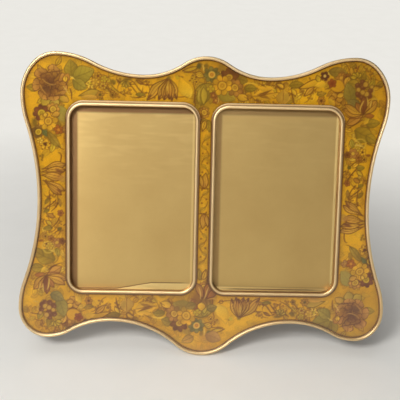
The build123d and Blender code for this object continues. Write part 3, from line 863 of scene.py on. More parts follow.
def upper_left_band(sheet):
    """Scattered blossoms, twigs with leaflets and a hanging tulip."""
    sheet.petal(-82.6, 67.4, 14, 14.4, 5, (168, 130, 56), (152, 124, 50), OLIVE_DARK, -0.03, 0.62)
    sheet.petal(-82, 66.4, 2, 13, 3, (196, 146, 74), (190, 138, 70), None)
    each(sheet.blossom, (-69, 68.4, 2.7, (178, 128, 46), OLIVE_DARK, 6),
         (-75, 75, 3.4, GOLD_LIGHT, LEMON, 6), (-71.6, 76.6, 2.8, (214, 164, 60), OCHRE, 5))
    sheet.speckle(-75.6, 74.6, 3, LINE, 7)
    each(sheet.blossom, (-70.4, 80.4, 2.4, (192, 142, 38), (120, 68, 26)), (-66.4, 78.6, 2.5, LEMON, OCHRE),
         (-66.8, 74.2, 2.6, (200, 156, 56), (140, 84, 32), 6))
    sheet.smudge(-60.6, 76.6, -40, 4.6, 3.4, OLIVE_DARK, 0.75)
    each(sheet.stroke, (LEMON, 1.2, (-63.6, 77), (-60.5, 72), (-56, 70)),
         (LINE, 0.7, (-63.4, 76.4), (-59, 71.6), (-54.6, 69.4), (-52, 67.6)),
         (LINE, 0.7, (-64.6, 73), (-63, 71), (-61, 69)))
    sheet.blossom(-61, 68.5, 1.9, (160, 118, 34), LINE)
    sheet.stroke(LINE, 0.8, (-58.6, 78.4), (-57, 77.6), (-55.4, 75.8))
    sheet.fan(-52, 77.4, (196, 232, 268, 304), 4.6, 2.3, OLIVE, LEMON, OLIVE_DARK)
    sheet.smudge(-51, 78.6, 0, 7, 2.2, OLIVE_DARK, 0.75)
    each(sheet.stroke, (LINE, 0.8, (-50.4, 75.8), (-47.6, 72.6), (-44.8, 69.8)),
         (LINE, 0.8, (-48.8, 77.8), (-45, 75.4), (-44.6, 71.6), (-40.8, 70.4)),
         (LINE, 0.6, (-50.4, 75.3), (-48, 75.2), (-46, 75.6)))
    sheet.petal(-45.8, 78, -22, 5.2, 1.9, (148, 96, 28), LINE)
    sheet.stroke(LINE, 0.7, (-41.4, 75.8), (-37.4, 74.8), (-34, 75.2))
    sheet.leaf(-46, 69.4, -6, 6.4, 2.3, OLIVE)
    sheet.stroke(LINE, 0.6, (-49.4, 67.6), (-44, 66.8), (-39.6, 67.4))
    sheet.stroke(LINE, 0.6, (-40.4, 70.2), (-37.6, 69.6), (-35.4, 70.4))
    tulip(sheet)
    sheet.dot(-18.9, 80.2, 1.3, LEMON)
    sheet.stroke(LINE, 0.8, (-18, 81.4), (-16.4, 80.6), (-15, 81))
    sheet.stroke(LINE, 0.6, (-20, 68.3), (-16.4, 68), (-12.8, 67.6), (-9.8, 69.4))
    sheet.ring(-12.2, 68.6, 1.2, LINE, 0.6)


def tulip(sheet):
    """A hanging tulip of slender petals with dark tips, its left petal turned back."""
    for heading, length, width, bend, tip in (
            (-60, 15, 4.6, -0.14, TAN), (216, 20, 5.4, 0.22, (186, 130, 56)), (238, 16, 4.6, 0.16, TAN),
            (-78, 15.4, 5.0, -0.06, (176, 118, 58)), (256, 15.6, 5.2, 0.06, (164, 106, 54)),
            (272, 14.6, 4.8, 0.0, (152, 94, 52))):
        sheet.petal(*TULIP_ROOT, heading, length, width, (190, 148, 48), tip, LINE, bend, 0.62, 1.0,
                    streaks=3)
        ahead = 0.86 * length * direction(math.radians(heading))
        aside = 0.74 * bend * length * direction(math.radians(heading + 90))
        end = np.array(TULIP_ROOT) + ahead + aside
        sheet.smudge(*end, heading + 70 * bend, 3.6, 1.6, MAUVE_DARK, 0.7)
    sheet.smudge(-24.6, 80.4, 0, 3, 2.4, OLIVE, 0.8)
    sheet.stroke((222, 176, 84), 0.6, (-25.4, 78), (-25.8, 74), (-24.8, 70.4))


def crown(sheet):
    """The middle of the upper edge: a bunch of daisies over a pod leaf, and a fern beside it."""
    sheet.stroke(LINE, 0.6, (-15, 83.8), (-10, 84.2), (-5, 83.6))
    sheet.petal(-17, 81.4, -74, 15.4, 8.4, GROUND, GOLD_LIGHT, OCHRE, 0.16, fade=0.0, strength=0.75)
    sheet.petal(-16.4, 84.6, 14, 11, 2.6, (206, 160, 34), LEMON)
    sheet.smudge(-5, 87.8, 80, 4.6, 3.6, (92, 84, 44), 0.9)
    sheet.smudge(-0.4, 88.2, 80, 3.8, 3, (128, 98, 34), 0.85)
    sheet.stroke(CREAM, 0.8, (-2.6, 89.4), (-2.2, 87), (-2, 84.6))
    sheet.smudge(4.4, 88, 0, 5.6, 3, (214, 152, 36), 0.8)
    sheet.smudge(9.6, 87, -30, 7, 4.4, (150, 116, 50), 0.7)
    sheet.petal(-1.4, 81.6, 166, 6.6, 4.2, LEMON, GOLD, LINE, streaks=3)
    sheet.speckle(-8.4, 79, 3, LINE, 7, 0.55)
    sheet.blossom(-6.6, 77.8, 1.9, GOLD, LINE)
    sheet.petal(5.4, 75.4, 176, 12.6, 4.8, (138, 116, 36), OLIVE, OLIVE_DARK, 0.3)
    sheet.leaf(-3, 62.6, 84, 14.4, 8.4, OLIVE)
    sheet.petal(-1.4, 62.4, 92, 12.4, 4.6, (160, 136, 46), (170, 146, 56), OLIVE_DARK)
    sheet.stroke(CREAM, 0.7, (-4.8, 74), (-5.6, 70), (-4.6, 65.6), strength=0.6)
    sheet.stroke(LINE, 0.8, (-8.8, 76.4), (-6.6, 72), (-8.4, 66.6), (-6.6, 62.4))
    sheet.leaf(7, 71.4, -18, 13, 9, (150, 124, 50), (136, 106, 40))
    sheet.petal(18.6, 71, -27, 9.6, 5, (204, 150, 40), GOLD)
    sheet.leaf(18.6, 81, -14, 8.4, 6.4, (138, 106, 32))
    sheet.leaf(24.4, 74.4, 0, 8.4, 5, (138, 108, 26))
    sheet.stroke(GOLD_LIGHT, 1, (25, 77.4), (28, 78.6), (33, 76.6))
    sheet.daisy(14.6, 81.2, 6.2, (126, 76, 36), (106, 62, 30), 2.3, (184, 136, 46), turn=10)
    sheet.daisy(18.2, 74.6, 5.8, (178, 124, 54), (166, 112, 62), 2.2, (200, 148, 54), turn=16)
    sheet.daisy(3.2, 82.8, 5.4, (106, 92, 44), (136, 120, 74), 2.1, ORANGE, turn=5, line=(92, 72, 34))
    sheet.ring(3.2, 82.8, 2.1, CREAM, 0.8, 0.7)
    sheet.daisy(10, 76, 6.8, (206, 148, 34), (218, 162, 46), 2.7, (208, 152, 44), turn=20)
    each(sheet.blossom, (2.8, 73.4, 2.7, LEMON, OCHRE, 4), (4.4, 69.4, 2.3, (146, 86, 40), (190, 130, 60)),
         (6, 66.4, 2.4, (160, 98, 48), (206, 150, 70)))
    sheet.stroke(CREAM, 0.7, (7.4, 68), (8.4, 66.6), (7, 64.6))
    fern(sheet)
    sheet.petal(45, 77.4, -20, 6, 3.6, (196, 146, 50), GOLD)
    sheet.stroke(LINE, 0.7, (45, 77), (47, 75.2), (50, 74.8))
    sheet.stroke(LINE, 0.7, (50, 78.2), (50.2, 76), (50, 74.4))
    sheet.petal(50, 74.6, -88, 10.4, 9.4, (176, 130, 52), (182, 134, 62), None, streaks=2)
    sheet.smudge(52.4, 69, 80, 7, 4.4, (160, 122, 50), 0.6)
    sheet.stroke(LINE, 0.9, (55, 71.6), (56.8, 68.6), (57.6, 64.4))
    sheet.speckle(54, 71.4, 1.1, LINE, 3, 0.5)
    sheet.petal(54.8, 75, -52, 5.6, 3, LEMON, GOLD)


def undergrowth(sheet):
    """Brown and olive shade behind the bunches."""
    each(sheet.smudge, (8, 77, 0, 46, 32, (150, 106, 32), 0.35), (-2, 67, 80, 24, 16, (140, 106, 34), 0.5),
         (100, 73, 80, 36, 25, (142, 100, 34), 0.35), (84, 76, 10, 24, 18, (166, 116, 34), 0.25),
         (103, 47, 80, 24, 16, (160, 118, 32), 0.25), (-98, 72, 70, 26, 21, (166, 112, 46), 0.6),
         (-103, 48, 70, 24, 14, (160, 114, 42), 0.35))
    each(sheet.sprigs, (-47, 73, 14, 6, 10), (-70, 74, 12, 7, 10, 4.0), (40, 72, 20, 7, 12),
         (70, 73, 12, 8, 8), (100, 82, 12, 8, 8, 4.0), (-100, -14, 6, 16, 12, 4.0),
         (-100, 8, 5, 10, 5, 4.0))


def foot_flower(sheet):
    """A dark flower over the foot, where the repeat is broken, with its leaves."""
    sheet.smudge(0, -66, 0, 18, 14, (128, 80, 44), 0.7)
    sheet.petal(2, -66, 70, 12, 6, (120, 62, 40), (134, 72, 46), (96, 50, 34), streaks=2)
    sheet.petal(3, -66, 40, 9, 4.6, (138, 74, 44), (120, 62, 44), (96, 50, 34))
    sheet.petal(0.5, -66, 112, 11, 5, (140, 84, 50), (150, 96, 56), (96, 50, 34), streaks=1)
    each(sheet.stroke, (CREAM, 0.8, (1.6, -66), (2.6, -61.4), (5, -57.4)),
         (CREAM, 0.7, (-1, -66), (-1.2, -62), (-2.4, -58.6)),
         ((212, 160, 84), 0.7, (4, -67), (6.8, -65.6), (9, -66.6)))
    sheet.petal(-0.6, -75, 84, 6.4, 6, (204, 150, 36), GOLD)
    sheet.leaf(3, -74, 20, 8, 5, (132, 104, 50))
    sheet.leaf(-4, -70, 200, 8, 5, (136, 104, 46))
    sheet.smudge(6, -93, 0, 16, 8, (182, 128, 66), 0.6)
    sheet.leaf(3, -91, -20, 11, 8, (166, 118, 66), (140, 98, 60))
    sheet.leaf(-5, -93, 200, 9, 6, (178, 126, 52))
    sheet.smudge(-14, -71, 0, 12, 12, (140, 108, 50), 0.5)


def fern(sheet):
    """A golden fern with brown veins."""
    sheet.petal(29.6, 69.6, 8, 15, 8.6, (208, 152, 36), (216, 160, 44), None, swell=0.6)
    sheet.petal(33, 75, -6, 11, 4.2, (206, 150, 36), GOLD, None)
    for number in range(5):
        x = 37.6 - 1.1 * number
        upper, lower = 73.8 - 0.4 * number, 67.4 + 0.3 * number
        sheet.stroke(LINE, 0.6, (x, 70.6), (x + 2.6, 71.8), (x + 4.8, upper), strength=0.7)
        sheet.stroke(LINE, 0.6, (x, 70.6), (x + 1.8, 69.2), (x + 3.8, lower), strength=0.6)
    sheet.stroke(LINE, 0.7, (30, 69.4), (36, 70.2), (44, 71.6), strength=0.7)
    sheet.stroke(LINE, 0.7, (33, 78), (36, 77), (38.4, 75.8), strength=0.7)
    sheet.stroke(LINE, 0.6, (24.6, 69), (27, 67.4), (28, 66.4), strength=0.7)
    sheet.stroke(LINE, 0.6, (31, 67.6), (34, 66.4), (37, 65.4), strength=0.6)


def upper_right_band(sheet):
    """Golden petals, leaves and blossoms along the upper edge on the right."""
    sheet.leaf(53.4, 76.6, 8, 10, 4.6, (142, 108, 26))
    sheet.petal(60, 75, 24, 18, 5.2, (208, 152, 30), (204, 154, 28), LINE, -0.14, streaks=1)
    sheet.petal(63.4, 70, 42, 9, 3.8, (198, 142, 48), (180, 126, 48), LINE, streaks=2)
    sheet.petal(70, 76.4, 20, 8, 4, GOLD, (206, 158, 32), None)
    sheet.petal(71.4, 84, -70, 5, 3.6, (168, 132, 38), LEMON)
    sheet.leaf(71.8, 71.4, 10, 6.6, 3, (160, 116, 36))
    sheet.blossom(74.8, 67.6, 2.8, (178, 120, 44), LINE, 6)
    sheet.leaf(78.6, 86.6, -4, 12.8, 6.4, (138, 106, 44))
    sheet.smudge(88, 86, -30, 4.6, 3.4, (136, 92, 44), 0.7)
    sheet.stroke(CREAM, 0.8, (78.2, 86.4), (79, 85), (80, 84.2))
    sheet.smudge(79.4, 80.4, -30, 7, 6, (184, 126, 48), 0.8)
    each(sheet.blossom, (76.8, 83.4, 3, MAUVE_DARK, (210, 170, 110)),
         (87.4, 82.2, 3.6, (172, 116, 48), (206, 150, 60), 6), (90.6, 83, 2.4, (150, 94, 36), LINE))
    sheet.dot(85.2, 76, 4.8, (210, 152, 34))
    sheet.stroke(LINE, 0.7, (80.4, 75.4), (82, 72.2), (87, 72), (89.6, 75.6))
    sheet.blossom(81.6, 78.8, 3.1, (150, 76, 30), (130, 62, 24), turn=24)
    sheet.fan(84.6, 68.6, (60, 120, 180, 240, 300, 0), 4.8, 4.2, (186, 124, 40), (194, 140, 58))
    sheet.petal(79.6, 68.6, -45, 6, 4, LEMON, GOLD, None)
    sheet.petal(90, 77, 70, 7, 4.4, TAN, (206, 156, 60), LINE, streaks=2)
    sheet.petal(90.6, 72.6, 200, 6, 3.6, (198, 146, 60), GOLD)


def lily_leaves(sheet):
    """Leaves and a pale line flower under the lily."""
    each(sheet.leaf, (104.6, 53, 4, 9.6, 6, (152, 118, 32)), (97.6, 48.6, -24, 14.4, 10.4, (150, 117, 30)),
         (105, 45.4, -30, 9, 6, (156, 122, 36)))
    sheet.ring(101.6, 39.4, 3.8, (206, 168, 70), 1.0)
    sheet.stroke((210, 172, 76), 1.0, (96.6, 46), (96.6, 41), (101, 42.6), (103.6, 38.6))
    sheet.blossom(100.6, 38.4, 2.8, (200, 160, 58), OCHRE, 6)
    sheet.speckle(90.6, 39, 2.2, LINE, 6)


def berries(sheet):
    """Dark berries and tiny daisies among grey leaves."""
    each(sheet.leaf, (91.6, 80, -20, 9, 6, (156, 122, 40)),
         (95, 66, 104, 14, 8.4, (134, 112, 52), (112, 92, 42)),
         (101, 63.6, 156, 10, 6.6, (124, 104, 60), (98, 80, 48)),
         (99.4, 80.6, 60, 7.4, 5.4, (150, 114, 26)))
    sheet.petal(95, 83, 102, 7, 3.2, (168, 116, 30), OCHRE)
    sheet.fan(97.4, 82.4, (40, 80, 125, 165), 4.6, 2.6, (178, 146, 26), LEMON, OLIVE_DARK)
    sheet.speckle(97.4, 88.6, 1.7, RUSSET, 4, 0.7)
    sheet.leaf(106, 76, 58, 6.4, 4, (158, 128, 34))
    sheet.stroke(LINE, 0.7, (108, 77.4), (111, 77.8), (114, 77.2))
    sheet.stroke(LINE, 0.6, (106.6, 82.6), (109.6, 82.4), (112, 81))
    for x, y, size in (
            (98.4, 77.6, 1.9), (101.4, 79.8, 1.9), (101.8, 76.6, 2), (98.8, 72, 2), (101.4, 70, 1.9),
            (106.8, 74.4, 1.8), (106.6, 71, 1.9), (104.6, 69.2, 1.5)):
        sheet.dot(x, y, size, (112, 64, 38), 0.95)
        sheet.dot(x - 0.5, y + 0.6, 0.6, (152, 100, 66), 0.7)
    for x, y, size in (
            (103.3, 78.7, 1.5), (99.2, 75, 1.2), (104.6, 72.4, 1.5), (102, 73.6, 1.4), (107.4, 77, 1.0)):
        sheet.dot(x, y, size + 0.5, (128, 80, 40), 0.8)
        sheet.dot(x, y, size, (192, 146, 66))
    sheet.stroke((200, 158, 78), 0.7, (108.8, 75.6), (109.6, 73.6), (109, 71.4))
    sheet.stroke((200, 158, 78), 0.7, (109, 69.6), (110.6, 69.4), (112.4, 69.2))


def lily(sheet):
    """A lily with a dark middle petal, golden side petals and pale stamens."""
    for heading, length, width, bend, root, tip in (
            (205, 12.5, 6.2, 0.1, TAN, (190, 132, 58)),
            (176, 14.6, 5, -0.14, (206, 152, 52), (186, 130, 54)),
            (160, 14.4, 4.8, -0.1, (208, 156, 54), (190, 134, 58)),
            (42, 12.6, 5.6, 0.14, (206, 152, 52), (188, 132, 56)),
            (68, 11, 3.8, -0.08, (176, 118, 48), (190, 136, 60)),
            (124, 10, 3.8, 0, (150, 92, 44), (168, 110, 54)),
            (92, 12.5, 4.8, 0, (122, 66, 36), (142, 86, 50))):
        sheet.petal(*LILY_ROOT, heading, length, width, root, tip, LINE, bend, 0.58, 0.95, streaks=2,
                    fade=0.0)
    each(sheet.stroke, ((218, 176, 92), 1.0, (101, 60.6), (100.6, 64.6), (102.6, 68)),
         ((218, 176, 92), 0.9, (105.2, 64.6), (105.6, 67.4), (104.8, 70)),
         ((218, 176, 92), 0.8, (107.2, 63.6), (107, 66.4), (108.4, 69)))
    sheet.petal(103.4, 58, 4, 7, 2.8, (150, 84, 32), (136, 62, 34), RUSSET)
    sheet.stroke(RUSSET, 0.9, (104, 57.8), (99.6, 55.6), (94, 56), (90.6, 58.6))
    sheet.stroke(LINE, 0.8, (102, 55.4), (98.6, 52), (93, 49.8))
    sheet.petal(106.8, 57, -130, 5.4, 2.6, LEMON, GOLD, None)


def left_side(sheet):
    """The narrow left side: a tulip on its side, twigs with buds and a cluster of blossoms."""
    sheet.speckle(-106.8, 27, 1.9, (126, 92, 28), 4, 0.75)
    sheet.stroke(LINE, 0.8, (-96, 30.2), (-92.6, 29.6), (-94.4, 25.4), (-94.6, 21.6))
    for x, y, heading, length, width, bend, tip in (
            (-107, 19.4, 16, 17, 4.8, -0.06, TAN),
            (-106.6, 12, -22, 16.4, 4.8, -0.06, TAN),
            (-107, 17.6, 6, 16, 5.2, 0.0, (186, 130, 60)),
            (-105.4, 11.4, -36, 15, 4.2, -0.04, (168, 112, 58)),
            (-107.6, 15.6, -8, 15.4, 5.6, 0.04, (172, 114, 58))):
        sheet.petal(x, y, heading, length, width, (202, 152, 54), tip, LINE, bend, 0.62, 1.0, streaks=3)
    each(sheet.smudge, (-95.4, 18.4, -20, 6.4, 2.6, (114, 66, 44), 0.75),
         (-94.6, 14.4, 60, 5, 2.2, (120, 70, 46), 0.7), (-95.4, 5.2, -45, 4.6, 2, (122, 72, 40), 0.75))
    sheet.leaf(-96, 13, 8, 7, 5, (190, 138, 68), TAN, strength=0.7)
    each(sheet.stroke, (LINE, 0.8, (-101.8, 5.6), (-101.4, 0), (-101.8, -7)),
         (LINE, 0.8, (-97.4, -0.8), (-100.4, -4), (-104.6, -6.4)),
         (LINE, 0.8, (-96.6, 4), (-95.4, -2), (-96.6, -5.4), (-100.4, -8.6)))
    each(sheet.leaf, (-102.4, 0.6, 240, 5, 2.2, (150, 110, 30)), (-95.6, 0, -80, 5.4, 2.2, (172, 116, 44)),
         (-101.6, -7.4, 200, 4.4, 2.4, (140, 112, 32)))
    sheet.petal(-103.4, -10.4, -26, 5.4, 3, (160, 112, 36), (150, 92, 36))
    sheet.petal(-104.6, -14.6, -38, 5.6, 2.8, LEMON, (176, 142, 34))
    sheet.leaf(-99.6, -19.4, 190, 6.4, 3.2, (148, 116, 34))
    sheet.blossom(-94.4, -9.4, 2.2, (170, 104, 50), (124, 72, 32))
    sheet.stroke(LINE, 0.8, (-94.6, -11), (-96.4, -15.4), (-100.4, -19.6))
    sheet.dot(-95.2, -20.2, 1.4, (112, 88, 26))
    sheet.stroke(LINE, 0.7, (-95.6, -21), (-96.8, -21.6), (-98.4, -22.8))
    sheet.stroke(LINE, 0.7, (-93, -18.2), (-92, -17.4), (-90.8, -16.8))
    each(sheet.blossom, (-104.8, -25.4, 2, (190, 140, 44), LINE),
         (-101, -26.6, 2.4, (170, 112, 46), (120, 70, 30)), (-103.6, -30.2, 2.6, GOLD, LINE))
    sheet.smudge(-107.4, -28.4, 10, 4, 2, (128, 70, 36), 0.8)
    sheet.blossom(-97.2, -29.6, 3.6, (172, 116, 62), (206, 160, 60), 6)
    sheet.blossom(-93.6, -28.4, 2.2, (136, 82, 36), LINE)
    sheet.leaf(-97, -33, -80, 6, 3.4, OLIVE_LIGHT)
    sheet.stroke(CREAM, 0.7, (-104.6, -33.4), (-102, -35.6), (-98.4, -35.2))


def middle_strip(sheet):
    """A thin vine down the strip between the windows, with a tulip by its middle."""
    sheet.daisy(-1.4, 58.2, 3.6, (176, 122, 46), TAN, 1.7, (204, 154, 52))
    sheet.stroke(LINE, 0.9, (-3.4, 57), (-2.6, 54), (-3.2, 51))
    sheet.leaf(1.6, 54, -84, 9, 3.4, (170, 134, 40))
    sheet.petal(-2.6, 46, 70, 8, 3.6, GOLD, (196, 146, 44), LINE, streaks=2)
    for number in range(7):
        height = 42 - 6 * number
        lean = 2.4 if number % 2 else -2.4
        sheet.stroke(LINE, 0.5, (-lean, height), (0.8 * lean, height - 2.5), (lean, height - 6))
        sheet.leaf(0.4 * lean, height - 2, 90 + 55 * (1 if lean > 0 else -1), 4.6, 2.2, OCHRE, strength=0.5)
        sheet.dot(-0.7 * lean, height - 4.6, 0.6, LINE, 0.7)
    sheet.petal(0.6, 19, -96, 11, 5.4, (206, 152, 48), (176, 120, 58), LINE, streaks=3)
    sheet.petal(-2.6, 18, -84, 9, 3, (206, 152, 52), (186, 130, 60), LINE, streaks=1)
    sheet.stroke(LINE, 0.7, (-3.2, 9), (0, 7.4), (3.2, 8.4))


# Groups of the print from back to front, each with the shift of its half-turned repeat in millimetres
REPEAT = (
    (undergrowth, (-0.4, 0.0)),
    (middle_strip, (0.0, 0.0)),
    (left_side, (0.0, 4.0)),
    (upper_left_band, (0.6, 0.6)),
    (crown, (-0.3, -2.2)),
    (upper_right_band, (-1.2, -1.2)),
    (lily_leaves, (-1.0, 6.8)),
    (berries, (-0.6, -0.4)),
    (lily, (-1.2, 7.0)),
    (leaf_trio, (0.8, -0.8)),
    (rose, (0.8, -0.8)),
    (daisy_bunch, (3.6, 4.6)),
)


def print_flowers(sheet):
    """The whole print: every group twice, the second time turned half round and a little shifted."""
    sheet.ground()
    # A darker patch in the lower right corner
    sheet.smudge(*DARK_CORNER)
    sheet.foliage()
    for side in (1, -1):
        for group, shift in REPEAT:
            sheet.side = side
            sheet.shift = shift if side < 0 else (0, 0)
            group(sheet)
    sheet.side, sheet.shift = 1, (0, 0)
    foot_flower(sheet)
    # Painted shade glazes over the right lobe and the crown
    for glaze in SHADE_GLAZES:
        sheet.smudge(*glaze)


def choose(piece, vertices):
    """Selects just these vertices of a mesh, given as a row of true and false."""
    mesh = piece.data
    mesh.polygons.foreach_set("select", np.zeros(len(mesh.polygons), bool))
    mesh.edges.foreach_set("select", np.zeros(len(mesh.edges), bool))
    mesh.vertices.foreach_set("select", vertices)


def only(piece):
    """Makes one object the only one selected, and active."""
    bpy.ops.object.select_all(action="DESELECT")
    piece.select_set(True)
    bpy.context.view_layer.objects.active = piece


def panel_wall():
    """The cut edge of the CAD panel alone, as a target for the sheet's edge."""
    panel = nodes["printed_panel"]
    wall = bpy.data.objects.new("panel_wall", panel.data.copy())
    bpy.context.scene.collection.objects.link(wall)
    only(wall)
    bpy.ops.object.mode_set(mode="EDIT")
    bpy.ops.mesh.select_all(action="SELECT")
    bpy.ops.mesh.remove_doubles(threshold=MERGE_DISTANCE)
    bpy.ops.mesh.select_all(action="DESELECT")
    bpy.ops.object.mode_set(mode="OBJECT")
    for face in wall.data.polygons:
        face.select = abs(face.normal.dot(OUT)) > FLAT_FACING
    bpy.ops.object.mode_set(mode="EDIT")
    bpy.ops.mesh.select_mode(type="FACE")
    bpy.ops.mesh.delete(type="FACE")
    bpy.ops.mesh.select_mode(type="VERT")
    bpy.ops.object.mode_set(mode="OBJECT")
    return wall


def printed_sheet():
    """A finely divided sheet in the place of the CAD panel, so that the print can be painted on it."""
    wall = panel_wall()
    bpy.ops.object.select_all(action="DESELECT")
    bpy.ops.mesh.primitive_grid_add(x_subdivisions=SHEET_CELLS, y_subdivisions=SHEET_CELLS, size=SHEET_SPAN,
                                    location=FRONT_MIDDLE, rotation=(TILT, 0, 0))
    sheet = bpy.context.object
    sheet.name = "floral_sheet"
    bpy.ops.object.transform_apply(location=True, rotation=True, scale=True)

    panel = surface(nodes["printed_panel"])
    starts = [vertex.co + OUT * SHEET_PROBE for vertex in sheet.data.vertices]
    choose(sheet, [panel.ray_cast(start, -OUT, SHEET_PROBE_REACH)[0] is None for start in starts])
    bpy.ops.object.mode_set(mode="EDIT")
    bpy.ops.mesh.delete(type="VERT")
    bpy.ops.mesh.select_all(action="SELECT")
    bpy.ops.mesh.region_to_loop()
    bpy.ops.object.vertex_group_assign_new()
    bpy.ops.object.mode_set(mode="OBJECT")

    wrap = sheet.modifiers.new("edge", "SHRINKWRAP")
    wrap.target = wall
    wrap.vertex_group = sheet.vertex_groups[0].name
    only(sheet)
    bpy.ops.object.modifier_apply(modifier=wrap.name)
    bpy.data.objects.remove(wall, do_unlink=True)
    flatten(sheet)

    bpy.ops.object.mode_set(mode="EDIT")
    bpy.ops.mesh.select_mode(type="EDGE")
    bpy.ops.mesh.select_all(action="SELECT")
    bpy.ops.mesh.region_to_loop()
    bpy.ops.mesh.extrude_region_move(TRANSFORM_OT_translate={"value": -OUT * SHEET_THICKNESS})
    bpy.ops.mesh.fill()
    bpy.ops.mesh.select_mode(type="VERT")
    bpy.ops.mesh.select_all(action="SELECT")
    bpy.ops.mesh.normals_make_consistent(inside=False)
    bpy.ops.mesh.select_all(action="DESELECT")
    bpy.ops.object.mode_set(mode="OBJECT")
    paint_sheet(sheet)
    sheet.data.materials.append(finishes["floral_print"])
    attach(sheet, "frame")
    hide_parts("printed_panel")


def flatten(sheet):
    """Puts every vertex of the sheet on the print's face again, after its edge was wrapped."""
    points = mesh_points(sheet)
    out = np.array(OUT)
    points -= np.outer((points - np.array(FRONT_MIDDLE)) @ out, out)
    sheet.data.vertices.foreach_set("co", points.ravel())
    sheet.data.update()


def paint_sheet(sheet):
    """Paints the flowers on the sheet's vertices, with dirt and painted shade along the metal's feet, under the
    lacquer.
    """
    points = mesh_points(sheet) - np.array(FRONT_MIDDLE)
    flowers = PrintSheet(MILLIMETRES * points @ np.array(ACROSS), MILLIMETRES * points @ np.array(UP))
    print_flowers(flowers)
    paint = np.empty_like(flowers.paint)
    paint[flowers.order] = flowers.paint
    # Dirt and painted shade next to the rim and the bezels
    edge_darkening = edge_dirt_and_shade(sheet)[:, None]
    paint += edge_darkening * (np.array(DIRT_AND_SHADE_TONE) - paint)
    rise = np.clip(points @ np.array(UP) / LACQUER_REACH, 0, 1)[:, None]
    lacquer = np.array(LACQUER) + rise * (np.array(TOP_LACQUER) - np.array(LACQUER))
    colours = np.column_stack([from_display(paint) * lacquer, np.ones(len(paint))])
    layer = sheet.data.color_attributes.new("print_colour", "FLOAT_COLOR", "POINT")
    layer.data.foreach_set("color", colours.ravel().astype(np.float32))


def edge_dirt_and_shade(sheet):
    """How dark the print is at each vertex: a line of dirt and painted shade at the metal's feet that fades into a
    wider painted shade.
    """
    metal = [surface(nodes[name]) for name in ("outer_rim", "window_bezel_left", "window_bezel_right")]
    gaps = []
    for vertex in sheet.data.vertices:
        found = [tree.find_nearest(vertex.co, SHADE_REACH)[3] for tree in metal]
        gaps.append(min([gap for gap in found if gap is not None], default=SHADE_REACH))
    gaps = np.array(gaps)
    line = np.clip(DARK_LINE_CORE * (1 - gaps / DARK_LINE_REACH), 0, 1) ** DARK_LINE_FALL
    shade = np.clip(1 - gaps / SHADE_REACH, 0, 1) ** 2
    return np.maximum(DARK_LINE_STRENGTH * line, SHADE_STRENGTH * shade)


def horizon_world():
    """A dim room that is paler low down in front, as a pale table that runs on would be."""
    world = bpy.data.worlds.new("studio")
    bpy.context.scene.world = world
    world.use_nodes = True
    tree = world.node_tree
    way = tree.nodes.new("ShaderNodeSeparateXYZ")
    tree.links.new(tree.nodes.new("ShaderNodeTexCoord").outputs["Generated"], way.inputs[0])

    def fade(axis, values):
        made = tree.nodes.new("ShaderNodeMapRange")
        made.interpolation_type = "SMOOTHSTEP"
        for key, value in zip(("From Min", "From Max", "To Min", "To Max"), values):
            made.inputs[key].default_value = value
        tree.links.new(way.outputs[axis], made.inputs["Value"])
        return made.outputs[0]

    glow = tree.nodes.new("ShaderNodeMath")
    glow.operation = "MULTIPLY_ADD"
    tree.links.new(fade("Z", HORIZON_FADE), glow.inputs[0])
    tree.links.new(fade("Y", FRONT_FADE), glow.inputs[1])
    glow.inputs[2].default_value = ROOM_LIGHT
    ground = tree.nodes["Background"]
    ground.inputs["Color"].default_value = ROOM_TONE
    tree.links.new(glow.outputs[0], ground.inputs["Strength"])


def softbox(name, place, size, power):
    """A soft oblong light."""
    lamp = bpy.data.lights.new(name, "AREA")
    lamp.shape = "RECTANGLE"
    lamp.size, lamp.size_y = size
    lamp.energy = power
    holder = bpy.data.objects.new(name, lamp)
    bpy.context.scene.collection.objects.link(holder)
    holder.location = place
    holder.rotation_euler = (Vector(LIGHT_AIM) - Vector(place)).to_track_quat("-Z", "Y").to_euler()


def studio():
    """Pale floor, soft lights in front and overhead, a dim room, and the photograph's camera."""
    bpy.ops.object.select_all(action="DESELECT")
    bpy.ops.mesh.primitive_plane_add(size=FLOOR_SIZE)
    floor = bpy.context.object
    floor.name = "floor"
    paper = Finish("floor_paper")
    place = paper.place()
    pale = paper.mix(paper.noise(place, FLOOR_GRAIN), linear(232, 230, 224), linear(238, 236, 230))
    paper.set(Base_Color=pale, Roughness=FLOOR_ROUGHNESS)
    paper.light_from_afar(pale, place)
    floor.data.materials.append(paper.material)
    for light in LIGHTS:
        softbox(*light)
    horizon_world()

    camera = bpy.data.cameras.new("camera")
    camera.lens = CAMERA_LENS
    camera.sensor_width = CAMERA_SENSOR
    holder = bpy.data.objects.new("camera", camera)
    bpy.context.scene.collection.objects.link(holder)
    holder.location = CAMERA_PLACE
    holder.rotation_euler = [math.radians(angle) for angle in CAMERA_TURN]
    bpy.context.scene.camera = holder
    bpy.context.scene.view_settings.view_transform = "Standard"


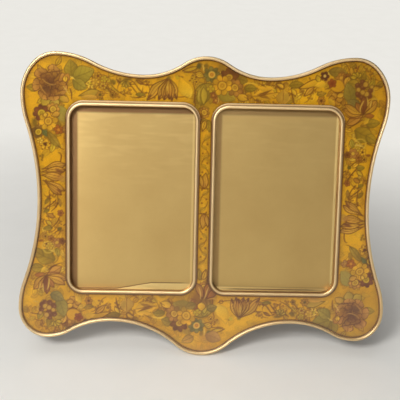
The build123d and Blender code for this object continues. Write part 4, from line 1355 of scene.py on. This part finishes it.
def bezel_edges():
    """The raised upper edge of each bezel: a fine strip along its lip, from corner to corner."""
    face = FRONT_MIDDLE.dot(OUT)
    for side in ("left", "right"):
        bezel = mesh_points(nodes["window_bezel_" + side])
        front = bezel[bezel @ np.array(OUT) > face]
        heights = front @ np.array(UP)
        wide = front[:, 0].max() - front[:, 0].min() + 2 * EDGE_OUTSET
        tall = heights.max() - heights.min() + 2 * EDGE_OUTSET
        middle = ACROSS * (0.5 * (front[:, 0].max() + front[:, 0].min()))
        middle += UP * (0.5 * (heights.max() + heights.min())) + OUT * face
        bpy.ops.object.select_all(action="DESELECT")
        bpy.ops.mesh.primitive_plane_add(size=1, location=middle, rotation=(TILT, 0, 0))
        edge = bpy.context.object
        edge.name = "bezel_edge_" + side
        edge.scale = (wide, tall, 1)
        bpy.ops.object.transform_apply(location=True, rotation=True, scale=True)
        bpy.ops.object.mode_set(mode="EDIT")
        bpy.ops.mesh.select_all(action="SELECT")
        bpy.ops.mesh.bevel(offset=EDGE_CORNER, segments=EDGE_STEPS, affect="VERTICES")
        bpy.ops.mesh.delete(type="ONLY_FACE")
        bpy.ops.object.mode_set(mode="OBJECT")
        choose(edge, mesh_points(edge) @ np.array(UP) < heights.max() - EDGE_CORNER)
        bpy.ops.object.mode_set(mode="EDIT")
        bpy.ops.mesh.delete(type="VERT")
        bpy.ops.object.mode_set(mode="OBJECT")
        bpy.ops.object.convert(target="CURVE")
        edge = bpy.context.object
        line = edge.data.splines[0].points
        for number, point in enumerate(line):
            steps = min(number, len(line) - 1 - number) + EDGE_TAPER
            point.radius = min(1, steps / EDGE_STEPS)
        edge.data.bevel_depth = EDGE_RADIUS
        edge.data.bevel_resolution = EDGE_ROUNDING
        edge.data.use_fill_caps = True
        bpy.ops.object.convert(target="MESH")
        bpy.ops.object.shade_smooth_by_angle()
        edge = bpy.context.object
        edge.data.materials.clear()
        edge.data.materials.append(finishes["gilt_brass"])
        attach(edge, "frame")


dress_cad_nodes()
printed_sheet()
bezel_edges()
studio()
